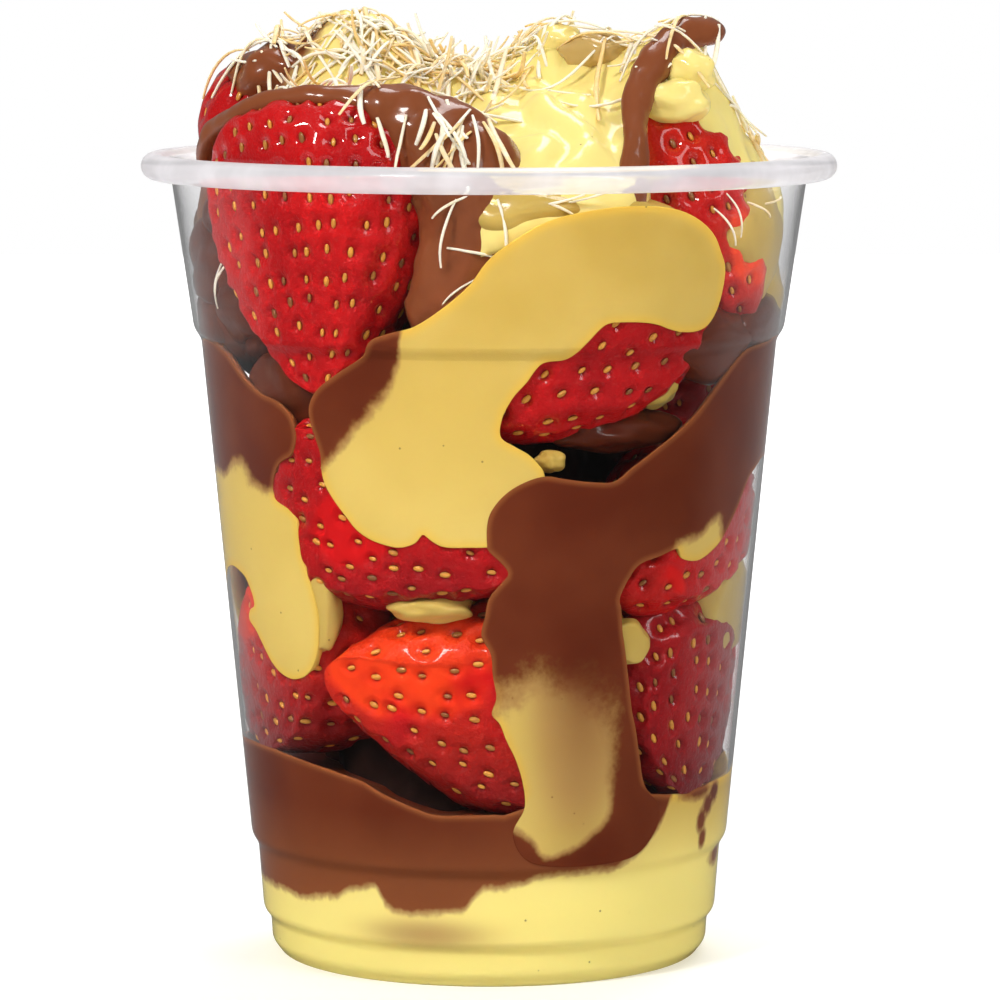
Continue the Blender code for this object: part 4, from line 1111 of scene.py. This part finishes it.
def new_group(name, sockets):
    """A tree of geometry nodes, with further inputs (name, type and default), and what comes in."""
    tree = bpy.data.node_groups.new(name, "GeometryNodeTree")
    for key, kind, default in (("Geometry", "Geometry", None), *sockets, ("Material", "Material", None)):
        socket = tree.interface.new_socket(key, in_out="INPUT", socket_type="NodeSocket" + kind)
        if default is not None:
            socket.default_value = default
    tree.interface.new_socket("Geometry", in_out="OUTPUT", socket_type="NodeSocketGeometry")
    return tree, add_node(tree, "NodeGroupInput").outputs


def finish_group(tree, start, geometry):
    """What the tree has made, painted and led out of it."""
    values = {"Geometry": geometry, "Material": start["Material"]}
    add_node(tree, "NodeGroupOutput", None, {0: add_node(tree, "GeometryNodeSetMaterial", None, values)})
    return tree


def realized(tree, start, instance, **turned):
    """A real copy of the instance on every point that comes in."""
    values = {"Points": start["Geometry"], "Instance": instance, **turned}
    placed = add_node(tree, "GeometryNodeInstanceOnPoints", None, values)
    return add_node(tree, "GeometryNodeRealizeInstances", None, {"Geometry": placed})


def seeds_tree():
    """Geometry nodes that set a seed on every point, turned by the point's own directions."""
    tree, start = new_group("scatter_seeds", (
        ("Width", "Float", 0.0009), ("Length", "Float", 0.0014), ("Thickness", "Float", 0.0005),
        ("Seed", "Int", None),
    ))
    ball = add_node(tree, "GeometryNodeMeshUVSphere", None, {"Segments": 8, "Rings": 5, "Radius": 0.5})
    facing = add_node(tree, "FunctionNodeAlignRotationToVector", {"axis": "Z"},
                      {"Vector": named(tree, "facing")})
    turned = add_node(tree, "FunctionNodeAlignRotationToVector", {"axis": "Y", "pivot_axis": "Z"},
                      {"Rotation": facing, "Vector": named(tree, "along")})
    size = add_node(tree, "ShaderNodeCombineXYZ", None, {
        "X": start["Width"], "Y": start["Length"], "Z": start["Thickness"]})
    uneven = add_node(tree, "FunctionNodeRandomValue", {"data_type": "FLOAT"},
                      {"Seed": start["Seed"], 2: 0.8, 3: 1.2})
    scale = vector_maths(tree, "SCALE", size, uneven.outputs[1])
    real = realized(tree, start, ball, Rotation=turned, Scale=scale)
    return finish_group(tree, start, add_node(tree, "GeometryNodeSetShadeSmooth", None, {"Geometry": real}))


def grown(name, points, values, tree, inputs):
    """A piece made by running a node tree on loose points, kept as a plain mesh."""
    carrier = new_object(name + "_points", new_mesh("points", points, [], values))
    modifier = carrier.modifiers.new("grow", "NODES")
    modifier.node_group = tree
    sockets = {s.name: s.identifier for s in tree.interface.items_tree if s.in_out == "INPUT"}
    for key, value in inputs.items():
        modifier[sockets[key]] = value
    graph = bpy.context.evaluated_depsgraph_get()
    result = bpy.data.meshes.new_from_object(carrier.evaluated_get(graph))
    result.name = name
    carrier.modifiers.clear()
    bpy.data.objects.remove(carrier)
    if not result.polygons:
        raise ValueError(f"{name} has no faces")
    return add_object(name, result)


def make_berries(settings):
    """Every strawberry, and all their seeds as one piece."""
    rows = []
    for number, (name, spec) in enumerate(BERRIES.items()):
        fineness = FINE_BERRY if number < FRONT_BERRY_COUNT else PLAIN_BERRY
        rows.append(make_berry(name, spec, fineness, settings))
    centres, facing, along = (np.concatenate(parts) for parts in zip(*rows))
    rule = random.Random(11)
    values = {"facing": facing, "along": along, "tint": [rule.random() for _ in centres]}
    grown("strawberry_seeds", centres, values, seeds_tree(), {
        "Width": settings.seed_width, "Length": settings.seed_length,
        "Thickness": settings.seed_width * 0.6, "Seed": 5,
        "Material": get_material("golden_seed", seed_material, settings),
    })


# Cream, sauce and pastry on top


def heap_height(x, y):
    """Top of the heap of cream at places, with its lumps and folds."""
    height = 116.0 - 0.0045 * (x * x + y * y)
    for u, v, rise, spread in LUMPS:
        height = height + rise * np.exp(-((x - u) ** 2 + (y - v) ** 2) / (2 * spread**2))
    return height


def make_heap(settings):
    """The heap of pistachio cream on the berries."""
    columns = 260
    angle = ring_angles(columns)
    turn = np.radians(angle)
    edge = HEAP_EDGE + 1.2 * np.sin(3 * turn + math.radians(40))
    for middle, depth, spread in HEAP_DENTS:
        edge -= depth * np.exp(-((angle_from(middle, angle) / spread) ** 2))
    low = HEAP_BOTTOM + 1.8 * np.sin(2 * turn + 0.6) + 1.3 * np.sin(5 * turn)
    rows = []
    for share in (0.2, 0.45, 0.7, 0.88):
        rows.append(around(angle, HEAP_BOTTOM * (1 - share) + low * share, edge * share))
    for up in np.linspace(0, 1, 10):
        height = low + (106.0 - low) * up
        rows.append(around(angle, height, np.minimum(edge + 0.6 * math.sin(math.pi * up), 40.2)))
    for share in np.linspace(0.985, 0.02, 64):
        ring = around(angle, 0.0, edge * share)
        drop = 2.4 * np.clip((share - 0.86) / 0.12, 0, 1) ** 2
        ring[:, 2] = heap_height(ring[:, 0], ring[:, 1]) - drop
        rows.append(ring)
    points = np.concatenate(rows)
    folds = soft_noise(points * (1, 1, 0.5), 6.0, 8.0)
    fine = soft_noise(points * (1, 1, 0.5), 2.6, 9.0)
    points[:, 2] += np.where(points[:, 2] > 104, np.abs(folds) * 2.6 - 0.9 + fine * 0.5, 0)
    rows = points.reshape(len(rows), columns, 3)
    points, faces = skinned(rows, (0, 0, HEAP_BOTTOM), (0, 0, heap_height(0, 0)))
    streaks = soft_noise(points * (1, 1, 0.6), 9.0, 12.0)
    line = 3.0 - 9.0 * np.clip(streaks - 0.28, 0, 1) * np.clip((points[:, 1] + 2) / 10, 0, 1)
    left = np.exp(-(((angle_of(points) + 78) / 18) ** 2))
    line = line - 7.0 * (left * np.clip((points[:, 0] ** 2 + points[:, 1] ** 2) / 900, 0, 1))
    # Painted light: the cream on top is paler all over
    add_sauce("cream_top", points, faces, "pistachio_cream", ["cream_heap"], settings,
              line=line, blur=1.2, light=0.8)


def sweep(name, path, replaced, settings):
    """Thick chocolate laid along a path: a flattened strip with folds."""
    curve = smooth_loop(path, 0.55, closed=False)
    centre, half = curve[:, :3], curve[:, 3]
    count, columns = len(curve), 60
    ahead = np.gradient(centre, axis=0)
    outward = unit(centre * (1, 1, 0))
    outward[:, 2] = 1
    across = unit(np.cross(ahead, outward))
    up = unit(np.cross(across, ahead))
    turn = np.arange(columns) * math.tau / columns
    from_end = np.minimum(np.arange(count), np.arange(count)[::-1])
    wide = half * np.where(from_end < 5, np.sqrt(np.clip(1 - (1 - from_end / 5) ** 2, 0.04, 1)), 1)
    points = np.concatenate([
        centre[i] + across[i] * (wide[i] * np.cos(turn))[:, None]
        + up[i] * (wide[i] * 0.7 * np.sin(turn))[:, None] for i in range(count)
    ])
    folds = soft_noise(points * (1, 1, 0.45), 4.0, 21.0) * 1.1 + soft_noise(points, 2.0, 22.0) * 0.3
    away = unit(points - np.repeat(centre, columns, axis=0))
    points = points + away * (folds * np.repeat(np.minimum(1, half / 3.5), columns))[:, None]
    limit = np.where(points[:, 2] < 107.5, wall_inner(points[:, 2]) - 0.5, 42.8)
    points[:, :2] *= np.minimum(1, limit / np.hypot(points[:, 0], points[:, 1]))[:, None]
    points, faces = skinned(points.reshape(count, columns, 3), centre[0], centre[-1])
    # Painted light: the chocolate on top is paler all over
    add_sauce(name, points, faces, "chocolate", replaced, settings, line=CHOCOLATE, light=0.7)


def strands_tree():
    """Geometry nodes that grow a bent shred of pastry from every point."""
    tree, start = new_group("grow_shreds", (
        ("Width", "Float", 0.0009), ("Crinkle", "Float", 0.0006), ("Crinkle Size", "Float", 0.007),
        ("Steps", "Int", 10),
    ))
    line = add_node(tree, "GeometryNodeCurvePrimitiveLine", {"mode": "POINTS"},
                    {"Start": (0, 0, 0), "End": (0, 0, 0.00001)})
    fine = add_node(tree, "GeometryNodeResampleCurve", None, {
        "Curve": realized(tree, start, line), "Count": start["Steps"]})
    share = add_signal(tree, "GeometryNodeSplineParameter", output="Factor")
    arch = share * (1 - share) * 4
    straight = vector_maths(tree, "SCALE", named(tree, "reach"), share)
    bent = vector_maths(tree, "SCALE", named(tree, "bow"), arch)
    moved = add_node(tree, "GeometryNodeSetPosition", None, {
        "Geometry": fine, "Offset": vector_maths(tree, "ADD", straight, bent)})
    rough = add_node(tree, "ShaderNodeTexNoise", None, {
        "Vector": add_node(tree, "GeometryNodeInputPosition"),
        "Scale": 1.0 / Signal(tree, start["Crinkle Size"]), "Detail": 1.0})
    centred = vector_maths(tree, "SUBTRACT", rough.outputs["Color"], (0.5, 0.5, 0.5))
    wavy = add_node(tree, "GeometryNodeSetPosition", None, {
        "Geometry": moved, "Offset": vector_maths(tree, "SCALE", centred, start["Crinkle"])})
    taper = Signal(tree, named(tree, "thick", "FLOAT").outputs[0]) * (0.7 + arch * 0.3)
    sized = add_node(tree, "GeometryNodeSetCurveRadius", None, {"Curve": wavy, "Radius": taper})
    ring = add_node(tree, "GeometryNodeCurvePrimitiveCircle", None, {
        "Resolution": 6, "Radius": Signal(tree, start["Width"]) * 0.5})
    flat = add_node(tree, "GeometryNodeTransform", None, {"Geometry": ring, "Scale": (1.0, 0.6, 1.0)})
    return finish_group(tree, start, add_node(tree, "GeometryNodeCurveToMesh", None, {
        "Curve": sized, "Profile Curve": flat, "Scale": taper, "Fill Caps": True}))


def top_tree():
    """A search tree over what the pastry lies on."""
    points, faces = [], []
    for name in (
        "cream_top", "cream_lumps", "sauce_lump", "sauce_drape", "sauce_strap", "strawberry_top_left",
        "strawberry_top_right", "strawberry_rear_top_left",
    ):
        mesh = bpy.data.objects[name].data
        faces += [tuple(i + len(points) for i in polygon.vertices) for polygon in mesh.polygons]
        points += [v.co.copy() for v in mesh.vertices]
    return BVHTree.FromPolygons(points, faces)


def lay(tree, x, y, front):
    """The point of the topping over (x, y) from above, or behind (x, height y) from the front, in mm."""
    start, way = ((x, -60, y), (0, 1, 0)) if front else ((x, y, 140), (0, 0, -1))
    hit = tree.ray_cast(Vector(start) * MM, Vector(way))[0]
    return None if hit is None else np.array(hit) / MM


def shred_on_top(tree, rule):
    """A shred somewhere on the topping: start, end and bow, or nothing where it would not lie."""
    weights = [zone[0] for zone in SHRED_ZONES]
    _, x, y, spread_x, spread_y, shortest, longest, front = rule.choices(SHRED_ZONES, weights)[0]
    x, y = rule.gauss(x, spread_x), rule.gauss(y, spread_y)
    heading = rule.uniform(-2.4, -0.9) if front else rule.uniform(0, math.tau)
    if math.hypot(x, y) > 37 and not front:
        return None
    length = rule.triangular(shortest, longest, shortest + 2)
    spots = [lay(tree, x + math.cos(heading) * length * t, y + math.sin(heading) * length * t, front)
             for t in (0, 0.5, 1)]
    if any(s is None for s in spots):
        return None
    a, b, c = spots
    low, outside = min(s[2] for s in spots) < RIM_LOW, math.hypot(c[0], c[1]) > 41
    if low or outside or np.linalg.norm(c - a) > length * 1.6:
        return None
    away = np.array((0, -1, 0.3)) if front else np.array((0, 0, 1))
    loose = rule.random() < 0.3
    start = a + away * rule.uniform(-0.1, 0.8)
    end = c + away * (rule.uniform(1.5, 6.0) if loose else rule.uniform(-0.1, 0.9))
    middle = b + away * rule.uniform(0.3, 1.2)
    bow = middle - (start + end) / 2
    if np.linalg.norm(bow) > 4:
        return None
    bow = bow + np.array([rule.uniform(-1, 1) for _ in range(3)]) * 0.7
    return None if max(start[2], end[2], middle[2]) > SHRED_TOP else (start, end, bow)


def make_pastry(settings):
    """Shreds of pastry lying over the heap and hanging into the cup."""
    tree = top_tree()
    rule = random.Random(settings.pastry_seed)
    rows = []

    def add_shred(start, end, bow, tint):
        rows.append((start, (end - start) * MM, np.asarray(bow) * MM, tint, rule.uniform(0.75, 1.25)))

    for _ in range(settings.pastry_count * 40):
        if len(rows) == settings.pastry_count:
            break
        found = shred_on_top(tree, rule)
        if found:
            add_shred(*found, rule.random())
    for angle, height, radius, dx, dz, tint in HANGING:
        start = around(angle, height, radius)
        add_shred(start, start + np.array((dx, 0.4, dz)), (0.8 * math.copysign(1, dx), -0.4, 0), tint)
    starts, *values = zip(*rows)
    grown("pastry_shreds", starts, dict(zip(("reach", "bow", "tint", "thick"), values)), strands_tree(), {
        "Width": settings.shred_width, "Material": get_material("golden_pastry", pastry_material, settings),
    })


# The stage


def make_world(settings):
    """A room that is white to the camera and through the plastic, dim to matt surfaces and brightest at the
    back to gloss."""
    world = bpy.data.worlds.new("studio")
    bpy.context.scene.world = world
    world.use_nodes = True
    tree = world.node_tree
    tree.nodes.clear()
    direction = add_signal(tree, "ShaderNodeTexCoord", output="Generated")
    depth = add_signal(tree, "ShaderNodeSeparateXYZ", None, {0: direction}, "Y")
    path, diffuse, mirrored = light_path(tree)
    through = path["Transmission Depth"].rise(0.0, 1.0) * (1 - diffuse) * (1 - mirrored)
    bright = depth.rise(0.0, 0.8) * (1 - mirrored * 0.85)
    bright = bright.at_least(diffuse * 0.36).at_least(through).at_least(path["Is Camera Ray"])
    back = add_node(tree, "ShaderNodeBackground", None, {
        "Color": bright.mix(grey(0.05), grey(1.0)), "Strength": settings.world_strength})
    add_node(tree, "ShaderNodeOutputWorld", None, {"Surface": back})


def make_stage(settings):
    """Pale floor, soft lights and the photo's camera."""
    mesh = bpy.data.meshes.new("floor")
    half = 1.5
    mesh.from_pydata([(-half, -half, 0), (half, -half, 0), (half, half, 0), (-half, half, 0)], [],
                     [(0, 1, 2, 3)])
    mesh.materials.append(get_material("pale_floor", floor_material))
    new_object("floor", mesh)
    make_world(settings)

    for name, place, size, power, colour in (
        ("key", (-0.36, -0.52, 0.70), 0.16, settings.key_power, (1.0, 0.98, 0.95)),
        ("fill", (0.5, -0.5, 0.66), 0.35, settings.fill_power, (1.0, 1.0, 1.0)),
        ("top", (0.1, 0.25, 0.75), 0.3, settings.top_power, (1.0, 1.0, 1.0)),
    ):
        light = bpy.data.lights.new(name, "AREA")
        light.shape = "RECTANGLE"
        light.size = light.size_y = size
        light.energy = power
        light.color = colour
        made = new_object(name, light)
        made.location = place
        made.rotation_euler = (Vector(LIGHT_TARGET) - Vector(place)).to_track_quat("-Z", "Y").to_euler()

    lens = bpy.data.cameras.new("camera")
    lens.sensor_width = 36
    lens.lens = CAMERA_LENS
    lens.shift_x = CAMERA_SHIFT
    lens.clip_start, lens.clip_end = CAMERA_CLIP
    camera = new_object("camera", lens)
    camera.location = CAMERA_PLACE
    camera.rotation_euler = (math.radians(90 - CAMERA_PITCH), 0, 0)
    bpy.context.scene.camera = camera
    bpy.context.scene.view_settings.view_transform = "Standard"


# The add-on


def colour_property(name, description, default):
    return FloatVectorProperty(
        name=name, description=description, default=default, subtype="COLOR", min=0, max=1)


def length_property(name, description, default):
    return FloatProperty(name=name, description=description, default=default, unit="LENGTH")


def power_property(name, description, default):
    return FloatProperty(name=name, description=description, default=default, unit="POWER")


class DessertCupSettings(bpy.types.PropertyGroup):
    """Sizes and colours of the cup, its food and the studio."""

    cup_sides: IntProperty(name="Cup sides", description="Faces round the cup", default=192, min=24)
    plastic: colour_property("Plastic", "Tint of the clear plastic", (0.985, 0.985, 0.99))
    milk: FloatProperty(name="Rim haze", description="Share of white haze in the rim", default=0.7)
    patch_spacing: FloatProperty(
        name="Smear detail", description="Distance between points of a smear, in millimetres", default=1.1)
    chocolate: colour_property("Chocolate", "Milk chocolate sauce", (0.122, 0.020, 0.0058))
    chocolate_light: colour_property("Light chocolate", "Its lighter parts", (0.165, 0.034, 0.011))
    chocolate_edge: colour_property("Chocolate edge", "Thin edges of the chocolate", (0.36, 0.12, 0.035))
    # Painted light: the colour that the mesh's light mixes into chocolate on top and at the foot
    chocolate_pale: colour_property("Pale chocolate", "Chocolate laid over the berries", (0.25, 0.075, 0.026))
    cream: colour_property("Cream", "Pistachio cream sauce", (0.60, 0.405, 0.083))
    cream_light: colour_property("Light cream", "Its lighter parts", (0.66, 0.465, 0.115))
    # Painted light: the colour that the mesh's light mixes into cream on top, low on the wall and at the foot
    cream_pale: colour_property("Pale cream", "Cream in the foot and on top", (0.96, 0.82, 0.28))
    cream_edge: colour_property("Cream edge", "Thin edges of the cream", (0.80, 0.50, 0.06))
    speck: colour_property("Specks", "Ground pistachio in the cream", (0.16, 0.11, 0.03))
    # Painted shade: the colour that the mesh's shade mixes into the sauce between the berries
    deep: colour_property("Deep sauce", "Sauce in the dark between the berries", (0.012, 0.004, 0.0025))
    blend: colour_property("Blend", "Where the two sauces mix", (0.42, 0.205, 0.085))
    flesh: colour_property("Strawberry", "Red flesh", (0.54, 0.005, 0.006))
    flesh_deep: colour_property("Deep red", "Its deeper parts", (0.38, 0.003, 0.005))
    flesh_orange: colour_property("Orange red", "Berries that are less ripe", (0.88, 0.05, 0.006))
    # Painted shade in the dimples and on the lower parts of berries; it also darkens some whole berries
    flesh_dark: colour_property("Dark red", "Dimples and overripe flesh", (0.13, 0.003, 0.006))
    flesh_pressed: colour_property("Pressed red", "Flesh pressed on the wall", (0.62, 0.003, 0.004))
    flesh_pale: colour_property("Pale flesh", "Fibres and the shoulder", (0.90, 0.42, 0.30))
    seed: colour_property("Seed", "Golden seeds", (0.72, 0.31, 0.035))
    seed_dark: colour_property("Dark seed", "Brown seeds", (0.26, 0.09, 0.02))
    seed_spacing: length_property("Seed spacing", "Distance between seeds", 0.0041)
    seed_width: length_property("Seed width", "Width of a seed", 0.0007)
    seed_length: length_property("Seed length", "Length of a seed", 0.0014)
    dimple_depth: length_property("Dimple depth", "Depth of the dimple round a seed", 0.0008)
    shred: colour_property("Pastry", "Pale shreds", (0.97, 0.90, 0.72))
    shred_gold: colour_property("Golden pastry", "Golden shreds", (0.88, 0.60, 0.23))
    shred_width: length_property("Shred width", "Width of a shred of pastry", 0.00065)
    pastry_count: IntProperty(name="Shreds", description="Number of shreds on top", default=560, min=1)
    pastry_seed: IntProperty(name="Seed of the shreds", description="Changes how they lie", default=4)
    world_strength: FloatProperty(name="Room light", description="Strength of the even light", default=1.0)
    key_power: power_property("Key light", "Power of the main light", 3.9)
    fill_power: power_property("Fill light", "Power of the fill", 1.8)
    top_power: power_property("Top light", "Power of the light above", 2.2)


def current(context):
    return context.scene.dessert_cup


class DESSERT_OT_cup(bpy.types.Operator):
    """Build the clear cup"""

    bl_idname = "dessert.cup"
    bl_label = "Clear Cup"

    def execute(self, context):
        make_cup(current(context))
        return {"FINISHED"}


class DESSERT_OT_wall_sauce(bpy.types.Operator):
    """Build the smears of sauce on the wall"""

    bl_idname = "dessert.wall_sauce"
    bl_label = "Sauce on the Wall"

    def execute(self, context):
        make_wall_sauce(current(context))
        return {"FINISHED"}


class DESSERT_OT_filling(bpy.types.Operator):
    """Build the pool at the bottom and the sauce between the berries"""

    bl_idname = "dessert.filling"
    bl_label = "Sauce in the Cup"

    def execute(self, context):
        settings = current(context)
        make_pool(settings)
        make_core(settings)
        # Painted shade over the blobs between the berries, more on the chocolate than on the cream
        for name, table, line, shade, slot in (
            ("cream_bits", CREAM_BLOBS, CREAM, 0.15, "pistachio_cream"),
            ("chocolate_bits", CHOCOLATE_BLOBS, CHOCOLATE, 0.3, "chocolate"),
        ):
            blobs = [wall_blob(*row) for row in table]
            make_blobs(name, blobs, line, shade, slot, ["chocolate_filling"], settings)
        return {"FINISHED"}


class DESSERT_OT_berries(bpy.types.Operator):
    """Build the strawberries with their seeds"""

    bl_idname = "dessert.berries"
    bl_label = "Strawberries"

    def execute(self, context):
        make_berries(current(context))
        return {"FINISHED"}


class DESSERT_OT_topping(bpy.types.Operator):
    """Build the heap of cream and the chocolate laid over it"""

    bl_idname = "dessert.topping"
    bl_label = "Cream and Sauce on Top"

    def execute(self, context):
        settings = current(context)
        make_heap(settings)
        sweep("sauce_drape", DRAPE_PATH, ["chocolate_drape"], settings)
        sweep("sauce_strap", STRAP_PATH, ["chocolate_strap"], settings)
        for name, table, line, slot in (
            ("cream_lumps", TOP_LUMPS, CREAM, "pistachio_cream"),
            ("sauce_lump", REAR_LUMP, CHOCOLATE, "chocolate"),
        ):
            blobs = [(middle, np.diag(half), veil) for middle, half, veil in table]
            # Painted light: the lumps on top are paler all over
            make_blobs(name, blobs, line, 0.0, slot, ["cream_heap"], settings, 0.7)
        return {"FINISHED"}


class DESSERT_OT_pastry(bpy.types.Operator):
    """Scatter the shreds of pastry over the topping"""

    bl_idname = "dessert.pastry"
    bl_label = "Pastry Shreds"

    def execute(self, context):
        make_pastry(current(context))
        return {"FINISHED"}


class DESSERT_OT_stage(bpy.types.Operator):
    """Set the floor, the lights and the camera"""

    bl_idname = "dessert.stage"
    bl_label = "Stage"

    def execute(self, context):
        make_stage(current(context))
        return {"FINISHED"}


OPERATORS = (
    DESSERT_OT_cup, DESSERT_OT_wall_sauce, DESSERT_OT_filling, DESSERT_OT_berries, DESSERT_OT_topping,
    DESSERT_OT_pastry, DESSERT_OT_stage,
)


class DESSERT_PT_panel(bpy.types.Panel):
    """Lists the pieces in the order they are built"""

    bl_idname = "DESSERT_PT_panel"
    bl_label = "Dessert Cup"
    bl_space_type = "VIEW_3D"
    bl_region_type = "UI"
    bl_category = "Dessert Cup"

    def draw(self, context):
        for operator in OPERATORS:
            self.layout.operator(operator.bl_idname)
        settings = current(context)
        for name in DessertCupSettings.__annotations__:
            self.layout.prop(settings, name)


CLASSES = (DessertCupSettings, *OPERATORS, DESSERT_PT_panel)


def register():
    for each in CLASSES:
        bpy.utils.register_class(each)
    bpy.types.Scene.dessert_cup = PointerProperty(type=DessertCupSettings)


def unregister():
    del bpy.types.Scene.dessert_cup
    for each in reversed(CLASSES):
        bpy.utils.unregister_class(each)


def main():
    """Builds every piece in order."""
    register()
    for operator in OPERATORS:
        group, name = operator.bl_idname.split(".")
        getattr(getattr(bpy.ops, group), name)()


if __name__ == "__main__":
    main()
